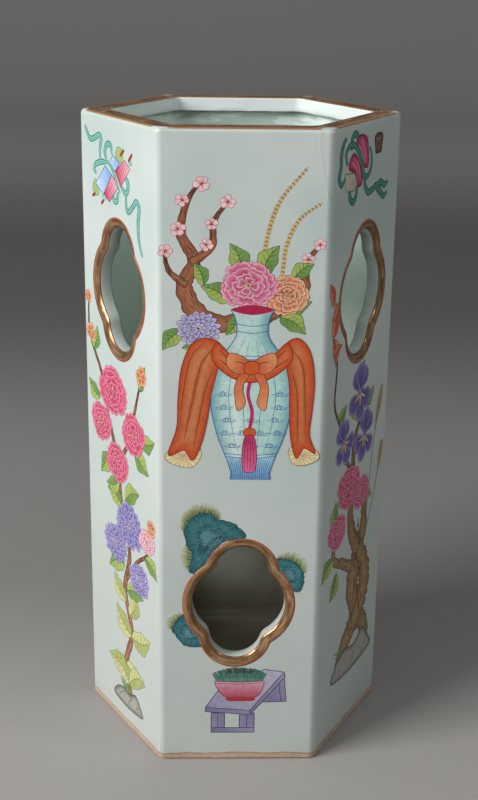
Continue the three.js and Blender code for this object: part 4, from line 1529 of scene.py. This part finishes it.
def vase(painting):
    def glaze_tone(points, rim):
        lit = np.exp(-((points[:, 0] - VASE_MIDDLE + 6) / 5) ** 2)
        tones = mixed(colour(112, 174, 182), CELADON, rim / 5)
        return mixed(tones, colour(230, 246, 240), lit * 0.6)
    outline = vase_outline(VASE_PROFILE)
    painting.patch(outline, glaze_tone)
    foot = [(x, y) for x, y in VASE_PROFILE if y < 150]
    painting.patch(vase_outline(foot), fading((0, 138), (0, 148), colour(104, 158, 204),
        colour(170, 214, 228)))
    lines = [stroke(outline, 0.36, closed=True, smooth=False)]
    for s in np.linspace(-0.95, 0.95, 21):
        rib = [(VASE_MIDDLE + s * x, y) for x, y in ((8.4, 138.4), (8.4, 143), (10.2, 147.6))]
        lines.append(stroke(rib, 0.24, 1, 0.5))
    for x, y in ((10.4, 148.2), (10.9, 149.6), (12.4, 191.8), (11.6, 193.2), (6.6, 203), (6.5, 206)):
        lines.append(stroke([(VASE_MIDDLE - x, y), (VASE_MIDDLE, y - 0.9), (VASE_MIDDLE + x, y)], 0.3, 1, 1))
    painting.brush(lines, COBALT)
    rows = ((153.2, 3, 7.8), (158.8, 4, 7.4), (164.6, 3, 10), (170.2, 2, 23), (176, 2, 23.6))
    for row, (y, count, apart) in enumerate(rows):
        for k in range(count):
            cloud(painting, VASE_MIDDLE + (k - (count - 1) / 2) * apart, y, 1.9, 1 if (row + k) % 2 else -1)
    fold_rows = ((5, 199), (10, 190), (13.4, 176), (11, 160), (7, 149))
    folds = [[(VASE_MIDDLE + s * x, y) for x, y in fold_rows] for s in (-0.7, -0.25, 0.3, 0.75)]
    painting.lines(folds, 0.24, colour(70, 142, 132), 0.4, 0.4)
    mouth = [(VASE_MIDDLE + x, y) for x, y in ((-8.8, 212), (0, 209.8), (8.8, 212), (0, 214))]
    painting.patch(curve(mouth, closed=True), flat(CRIMSON))

def tassel(painting):
    """A magenta cord and tassel that hang from the knot."""
    cord = colour(196, 44, 104)
    painting.line([(4, 184), (2.6, 176), (4.4, 168), (3.4, 160)], 1.5, cord, 1, 1)
    bead = [(1.6, 160.6), (5.4, 160.6), (5.8, 157.6), (3.5, 156.6), (1.2, 157.6)]
    painting.washed(bead, flat(ORANGE), RUST, 0.26)
    ink = colour(120, 20, 66)
    skirt = [(1.6, 157), (5.4, 157), (6.6, 149), (6, 142), (3.6, 141), (1, 142), (0.4, 149)]
    painting.washed(skirt, fading((3.5, 157), (3.5, 141), cord, colour(232, 110, 156)), ink, 0.3)
    threads = [[(3.5 + s * x, y) for x, y in ((1.6, 156.4), (2.6, 149), (2.4, 142.4))]
        for s in (-0.8, -0.3, 0.2, 0.7)]
    painting.lines(threads, 0.24, ink, 1, 0.4)

def fold(painting, outline, lines, lining):
    """One hanging fold: deep at its rim and pale inside, over its straw-coloured lining."""
    painting.washed(lining, flat(colour(238, 226, 168)), STRAW_DEEP, 0.26)
    middle = np.mean(lining, axis=0)
    hatching = [[point, (point + middle) / 2, middle] for point in curve(lining, closed=True, spacing=2)]
    painting.lines(hatching, 0.2, colour(196, 128, 128), 1, 0.2)
    painting.washed(outline, pooled(colour(208, 130, 80), colour(204, 62, 12), 5), RUST, 0.36)
    painting.lines(lines, 1.8, colour(196, 100, 52), 0.2, 0.1)
    painting.lines(lines, 0.34, RUST, 0.3, 0.1)

def cloth(painting):
    """The wrapping: a band over the vase's shoulder, a fold on either side, and a knot."""
    tassel(painting)
    fold(
        painting,
        [(-9, 197), (-15, 200), (-21, 197), (-25, 187), (-26.4, 174), (-27, 161), (-30.5, 149),
         (-24, 151), (-20.5, 146.5), (-17, 153), (-14.4, 164), (-12.6, 176), (-10, 187)],
        ([(-12, 196), (-17, 188), (-20.6, 172), (-24, 155)],
         [(-10.5, 190), (-15, 178), (-18, 163), (-20.4, 150)],
         [(-14, 199), (-21, 192), (-24, 178), (-26, 160)]),
        [(-24, 152), (-31, 150), (-31.4, 146.4), (-26, 143.6), (-20, 143.4), (-16.6, 149), (-19, 154)])
    fold(
        painting,
        [(17.4, 197), (23, 200), (28, 194), (30, 182), (29.4, 169), (28.6, 158), (31.4, 149.6),
         (26.6, 152), (23.4, 147.4), (20.8, 156), (20, 168), (19.6, 180), (18, 189)],
        ([(20, 196), (25, 188), (26.4, 172), (27, 154)],
         [(19, 190), (22.6, 178), (23.4, 164), (23.6, 150)]),
        [(24, 153), (31.6, 151), (32.6, 147), (27, 144.4), (22, 145), (20, 151)])
    band = [(-10.4, 198), (-4, 192.4), (4, 190.4), (12, 192.4), (18.6, 198), (20.6, 191), (13, 183.4),
            (4, 181), (-5, 183.4), (-12.4, 191)]
    painting.washed(band, pooled(colour(214, 126, 74), colour(206, 66, 16), 3.8), RUST, 0.36)
    creases = [[(-9.5, 195), (-4, 190), (3, 187.6)], [(-10, 191.4), (-4, 187), (2.6, 184.6)],
        [(18, 195), (12, 190), (5, 187.6)], [(18.6, 191), (12, 186.6), (5.4, 184.4)]]
    painting.lines(creases, 0.5, RUST, 0.3, 0.2)
    for way in (-1, 1):
        x = VASE_MIDDLE
        end = ((0.6, 185), (3.6, 179), (2.4, 172), (5.6, 168.6), (6.8, 174), (6.8, 180), (3.4, 187))
        painting.washed([(x + way * u, v) for u, v in end],
            fading((x, 187), (x + way * 5, 169), ORANGE, ORANGE_PALE), RUST, 0.3)
        bow = ((0, 188), (3.4, 192), (9, 193.6), (10.4, 189), (7, 185), (2.6, 185))
        painting.washed([(x + way * u, v) for u, v in bow],
            fading((x, 187), (x + way * 10, 191), colour(196, 70, 28), ORANGE_PALE), RUST, 0.3)
        painting.line([(x + way, 188), (x + way * 4.6, 189.6), (x + way * 8, 190)], 0.4, RUST, 0.8, 0.1)
    knot = [(1.6, 189.6), (6.4, 189.6), (7, 185.8), (4, 184.2), (1, 185.8)]
    painting.washed(knot, flat(ORANGE), RUST, 0.34)

def vase_flowers(painting, seed):
    barred_reed(painting, [(6, 210), (8, 224), (9, 240), (14, 256), (25, 270)])
    barred_reed(painting, [(9, 210), (15, 224), (17, 238), (22, 249), (31, 256)])
    bark = (colour(172, 112, 78), colour(140, 82, 54), BARK_DEEP)
    branch(painting, [(0, 208, 6), (-9, 206, 7), (-19, 211, 7.6), (-24, 222, 6.4), (-20, 232, 5),
        (-25, 243, 3.6), (-23, 255, 2.2), (-17, 265, 1)], bark, seed=seed)
    branch(painting, [(-21, 231, 3.6), (-13, 238, 3), (-12, 248, 2), (-6, 257, 1)], bark, seed=seed + 1)
    branch(painting, [(-23, 222, 3), (-30, 228, 2), (-32, 237, 0.9)], bark, seed=seed + 2)
    branch(painting, [(10, 208, 3.6), (17, 213, 3.4), (25, 220, 3.4), (25, 231, 2.6), (31, 239, 1.2)], bark,
        seed=seed + 3)
    for k, (x, y, size) in enumerate((
            (-17, 263, 3.2), (-24.6, 256.5, 2.8), (-6.6, 256, 3), (-13, 247, 2.6), (-26.4, 245, 3.2),
            (-31.4, 236, 2.8), (-15, 238.6, 2.8), (26, 233, 2.8), (30.6, 239, 2.6))):
        blossom(painting, x, y, size, k + seed)
    leaves(painting, (
        (-6, 215, 13, 2.6), (-14, 201, 12, 3.6), (13, 214, 15, 0.1), (15, 209, 13, -0.6), (-1, 226, 14, 1.9),
        (8, 226, 14, 1.1), (-16, 222, 10, 2), (20, 224, 11, 0.7), (-24, 203, 12, 3.9), (-2, 210, 10, 4.2)))
    chrysanthemum(painting, -18, 204, 8.6, seed=seed + 4)
    orange = (colour(240, 168, 118), colour(188, 58, 30), colour(250, 214, 180))
    peony(painting, 18, 218, 9.6, orange, RUST, seed + 6)
    pink = (colour(236, 132, 168), colour(166, 24, 74), colour(250, 206, 220))
    peony(painting, 2, 222, 11.5, pink, seed=seed + 8)

def low_window_wall(seed):
    painting = Painting()
    rocks(painting)
    table(painting)
    bowl(painting)
    vase_flowers(painting, seed)
    vase(painting)
    cloth(painting)
    return painting

paintings = fire(low_window_wall(1), "front", 0)
paintings += fire(low_window_wall(30), "back_right", 2, mirrored=True)
paintings += fire(low_window_wall(60), "back_left", 4)

# %% [markdown]
# ## The flowers of the side walls
# Under the high windows of the other walls grow generic flowering plants: magenta peonies
# over violet chrysanthemums on the left wall, and on the right one irises and peonies on
# entwined trunks, before plumed grasses. The back wall is the left one in mirror image.

# %% The flowers of the side walls
def iris(painting, x, y, size, turn, seed):
    """Three hanging petals, a pale tongue on each, and three that stand up."""
    chance = random.Random(seed)
    shape = [(0, 0), (0.25, 0.2), (0.6, 0.42), (0.9, 0.36), (1.06, 0.05), (0.94, -0.3), (0.6, -0.4),
        (0.25, -0.16)]
    for angle, long in ((1.15, 1), (2.05, 1), (1.6, 1.1), (-0.5, 1), (3.7, 1), (-1.6, 1.05)):
        angle += chance.uniform(-0.1, 0.1) + turn
        outline = curve(placed(np.array(shape) * (long, 0.95), x, y, size, angle), closed=True)
        painting.patch(outline, glowing((x, y), size * 0.2, size, INDIGO, VIOLET, LILAC))
        lines = [stroke(outline, 0.22, closed=True, smooth=False)]
        for s in (-0.8, -0.3, 0.3, 0.8):
            vein = placed([(0.25, s * 0.1), (0.6, s * 0.3), (0.9, s * 0.34)], x, y, size, angle)
            lines.append(stroke(vein, 0.2, 0.9, 0.1))
        painting.brush(lines, INDIGO)
        if angle - turn < 1 or angle - turn > 3:
            tongue = placed([(0.1, 0), (0.35, 0), (0.55, 0)], x, y, size, angle)
            painting.line(tongue, 1.1, colour(236, 206, 110), 1, 0.3)

def mound(painting, x, y, size):
    """A grey rock for the plants to stand on."""
    outline = [(-14, 1.6), (-11, 6.5), (-5, 9), (2, 8), (8, 10.5), (13, 6), (15, 2), (7, 0.4), (-3, 0)]
    stone = pooled(colour(170, 170, 160), colour(96, 104, 100), 2.4)
    painting.washed(placed(outline, x, y, size), stone, INK, 0.3)
    for line in ([(-9, 2), (-7, 5), (-3, 7)], [(0, 1), (1, 4), (5, 7)], [(8, 1.5), (9, 4.4), (12, 5)]):
        painting.line(placed(line, x, y, size), 0.3, INK, 0.6, 0.2)

def plume(painting, line, length, seed):
    """A straw-coloured grass stem whose plume hangs from its upper end."""
    chance = random.Random(seed)
    path = curve(line, spacing=0.8)
    painting.line(line, 0.7, STRAW_DEEP, 1, 0.6)
    plumed = path[-int(length / 0.8):]
    for ink, width in ((STRAW, 0.5), (STRAW_DEEP, 0.26)):
        hairs = []
        for k, point in enumerate(plumed):
            way = plumed[min(k + 1, len(plumed) - 1)] - plumed[max(k - 1, 0)]
            way /= np.linalg.norm(way)
            across = left_of(way)
            reach = 4.5 * math.sin(math.pi * (0.12 + 0.8 * k / len(plumed)))
            for side in (-1, 1):
                tip = point + across * side * reach * chance.uniform(0.5, 0.8) + way * reach * 0.8
                hairs.append(stroke([point, (point + tip) / 2 + way * 0.5, tip], width, 0.9, 0.1))
        painting.brush(hairs, ink)

def left_garden(painting):
    branch(painting, [(6, 18, 4.6), (2, 34, 4.2), (8, 52, 3.8), (2, 72, 3.6), (7, 92, 3.2), (0, 112, 3.2),
        (-4, 134, 3), (-12, 152, 2.6), (-18, 170, 2.2), (-29, 186, 1.6), (-30, 204, 0.8)], seed=21)
    branch(painting, [(-3, 132, 2.4), (8, 146, 2.2), (14, 162, 1.8), (20, 178, 1)], seed=22)
    branch(painting, [(4, 78, 2.2), (14, 90, 2), (24, 98, 1.4), (28, 110, 0.8)], seed=23)
    pale = (colour(212, 214, 150), colour(168, 180, 104), colour(88, 110, 56))
    leaves(painting, ((8, 50, 19, 0.3), (8, 50, 19, 2.5), (2, 34, 19, -0.2), (2, 34, 18, 3.3),
        (6, 60, 16, 1.1), (5, 24, 17, 0.5), (5, 24, 16, 2.7), (3, 66, 16, 2.4)), tones=pale)
    leaves(painting, (
        (0, 112, 15, 2.8), (-2, 124, 14, 3.5), (18, 150, 14, 0.2), (-20, 158, 13, 2.6), (-8, 132, 16, 3.8),
        (19, 172, 13, 1.2), (14, 146, 16, -0.7), (22, 96, 13, -0.6), (-26, 180, 12, 1.2), (4, 72, 16, 0.1),
        (2, 84, 17, 3.5), (3, 116, 16, 0.5)))
    magenta = (colour(224, 90, 128), colour(158, 16, 50), colour(242, 158, 180))
    violet = (colour(142, 130, 198), colour(58, 50, 124), colour(196, 190, 228))
    chrysanthemum(painting, 16, 82, 9.6, violet, seed=31)
    chrysanthemum(painting, -7, 92, 11, violet, seed=32)
    chrysanthemum(painting, 7, 105, 13, violet, seed=33)
    peony(painting, 24, 104, 7, seed=34)
    peony(painting, -4, 132, 10.5, magenta, seed=35)
    peony(painting, -19, 147, 10, magenta, seed=36)
    peony(painting, 12, 150, 11, magenta, seed=37)
    peony(painting, -7, 165, 13, magenta, seed=38)
    tones = (ORANGE_PALE, colour(206, 78, 36), colour(250, 206, 160))
    for k, (x, y, size) in enumerate(((20, 179, 5), (-28, 187, 4.6), (-30.4, 203, 3.4), (28, 112, 4))):
        flower(painting, x, y, size, ROUND_PETAL, FIVE_PETALS, tones, RUST, 0.9, k + 40)
        heart(painting, x, y, size * 0.2, k)
    grass(painting, 2, 12.5, 13, 18, seed=45)
    mound(painting, 3, 10, 1)

def right_garden(painting):
    plume(painting, [(14, 96), (17, 118), (21, 142), (27, 162)], 22, seed=55)
    plume(painting, [(15, 92), (22, 108), (27, 122), (30, 134)], 15, seed=56)
    trunk = (colour(174, 142, 96), colour(126, 96, 60), BARK_DEEP)
    branch(painting, [(22, 38, 5), (17, 46, 9), (8, 58, 12), (2, 72, 12.5), (6, 86, 11.5), (12, 98, 8),
        (12, 112, 5)], trunk, seed=57, rough=0.16)
    branch(painting, [(-12, 36, 5), (-4, 44, 10), (8, 54, 13), (16, 66, 12), (14, 80, 10.5), (3, 94, 8.5),
        (-3, 108, 6), (-2, 124, 4.6), (-2, 144, 3.4), (6, 160, 2.2), (2, 174, 1.2)], trunk, seed=51,
        rough=0.16)
    branch(painting, [(1, 82, 6), (-10, 88, 5), (-20, 94, 4), (-19, 108, 2.4)], trunk, seed=52)
    branch(painting, [(-2, 130, 2.6), (-12, 140, 2), (-17, 154, 1.6), (-25, 168, 1.4), (-24, 186, 1.2),
        (-29, 198, 1)], seed=53)
    chance = random.Random(58)
    scales = []
    for rise in np.linspace(46, 100, 26):
        x = np.interp(rise, (46, 60, 74, 86, 100), (0, 9, 8, 8, 4)) + chance.uniform(-6, 6)
        scale = [(x, rise), (x + chance.uniform(0.6, 1.4), rise + 2.4), (x, rise + 5)]
        scales.append(stroke(scale, 0.7, 0.9, 0.1))
    painting.brush(scales, BARK_DEEP)
    leaves(painting, ((-4, 122, 15, 3.4), (6, 114, 15, -0.2), (-8, 138, 14, 2.2), (4, 156, 14, 2.4),
        (6, 160, 13, 0.4), (-19, 108, 14, 1.6), (-20, 94, 14, 3.7), (3, 170, 11, 1.3), (-21, 160, 10, 0.5),
        (-16, 86, 14, 4.2)), 0.14)
    magenta = (colour(226, 92, 140), colour(160, 18, 64), colour(246, 170, 194))
    peony(painting, -17, 106, 9.6, magenta, seed=61)
    peony(painting, 8, 117, 9, magenta, seed=62)
    peony(painting, -6, 124, 12, magenta, seed=63)
    iris(painting, -13, 147, 10, 0.3, seed=64)
    iris(painting, 9, 144, 11, -0.3, seed=65)
    iris(painting, 2, 166, 12, 0, seed=66)
    leaves(painting, ((-29, 198, 16, 1.5), (-28, 198, 13, 4.9), (-29.5, 206, 11, 0.9), (-28, 190, 9, 0.4),
        (-30, 212, 11, 1.9)), 0.1, width=0.24, tones=(ORANGE_PALE, ORANGE, RUST))
    for x, seed in ((-8, 67), (18, 69)):
        grass(painting, x, 34, 13, 15, seed=seed)
        grass(painting, x, 34, 9, 11, ink=STRAW_DEEP, seed=seed + 1)
    mound(painting, 4, 27, 1.55)

def high_window_wall(garden, scrolls, marked=False):
    painting = Painting()
    garden(painting)
    scrolls(painting)
    if marked:
        cup_mark(painting)
    return painting

paintings += fire(high_window_wall(left_garden, left_scrolls), "front_left", 5)
paintings += fire(high_window_wall(right_garden, right_scrolls, marked=True), "front_right", 1)
paintings += fire(high_window_wall(left_garden, left_scrolls), "back", 3, mirrored=True)
print("triangles in all paintings:", sum(triangle_count(piece) for piece in paintings))

# %% [markdown]
# ## The stage
# A plain sweep of paper, pale under the pot, turns up behind the pot; behind the pot a band
# of painted shade greys it, fading out again at the back. A large soft lamp stands on the left,
# a small weak one on the right gives the glints in the glaze, and a dim white room fills the shadows.

# %% The stage
FLOOR_COLOUR = colour(170, 168, 165)
# painted shade: the grey of the band on the paper behind the pot
PAPER_SHADE = colour(102, 101, 100)
PAPER_FIBRE = colour(120, 118, 116)
PAPER_HALF_WIDTH = 5000
PAPER_FRONT = -2500
PAPER_BACK = 2300
PAPER_BEND = 900
PAPER_TOP = 3500
ROOM_LIGHT = 0.28

# How far behind the pot the paper's painted shade comes in, and where it fades out again
SHADE_NEAR = (-60, 160)
SHADE_FAR = (260, 760)
SHADE_FADES = (1000, 1900)

def sweep_mesh():
    turns = np.linspace(0, math.pi / 2, 17)
    bend = [(PAPER_BACK + PAPER_BEND * math.sin(a), PAPER_BEND * (1 - math.cos(a))) for a in turns]
    profile = [(PAPER_FRONT, 0), *bend, (PAPER_BACK + PAPER_BEND, PAPER_TOP)]
    points = [(x, y, z) for x in (-PAPER_HALF_WIDTH, PAPER_HALF_WIDTH) for y, z in profile]
    count = len(profile)
    return points, [(i, i + 1, count + i + 1, count + i) for i in range(count - 1)]

paper = Finish("paper")
fibre = paper.noise(1 / 3, detail=3)
# painted shade: the paper is painted greyer in a band behind the pot
paper_shade = paper.between(paper.y, *SHADE_NEAR) * 0.5 + paper.between(paper.y, *SHADE_FAR) * 0.5
paper_shade = paper_shade * (1 - paper.between(paper.y, *SHADE_FADES) * 0.85)
paper.set(base_color=paper.over(FLOOR_COLOUR, (paper_shade, PAPER_SHADE), (fibre * 0.12, PAPER_FIBRE)),
    roughness=0.7)
floor = make_piece("paper_sweep", *sweep_mesh(), paper.material)

def area_light(name, place, aim, size, watts, tone):
    data = bpy.data.lights.new(name, "AREA")
    data.shape = "RECTANGLE"
    data.size, data.size_y = size
    data.energy = watts
    data.color = tone
    light = link(bpy.data.objects.new(name, data))
    direction = Vector(aim) - Vector(place)
    light.matrix_world = Matrix.Translation(place) @ direction.to_track_quat("-Z", "Y").to_matrix().to_4x4()
    return light

area_light(
    "key", (-1.32, -0.74, 0.95), aim=(0, 0, 0.14), size=(0.9, 0.9), watts=31, tone=(1, 0.975, 0.967))
area_light("glint", (1.1, -0.52, 0.97), aim=(0, 0, 0.2), size=(0.1, 0.1), watts=1.1, tone=(1, 1, 1))

world = bpy.data.worlds.new("studio")
bpy.context.scene.world = world
world.use_nodes = True
background = world.node_tree.nodes["Background"]
background.inputs["Color"].default_value = (1, 1, 1, 1)
background.inputs["Strength"].default_value = ROOM_LIGHT
bpy.context.scene.view_settings.view_transform = "Standard"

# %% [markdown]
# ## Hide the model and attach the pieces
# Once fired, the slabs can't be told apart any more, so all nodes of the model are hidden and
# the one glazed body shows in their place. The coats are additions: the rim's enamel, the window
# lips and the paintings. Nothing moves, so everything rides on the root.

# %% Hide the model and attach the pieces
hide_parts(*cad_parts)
for piece in [body, rim_coat, *lips, *paintings]:
    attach(piece, "root")
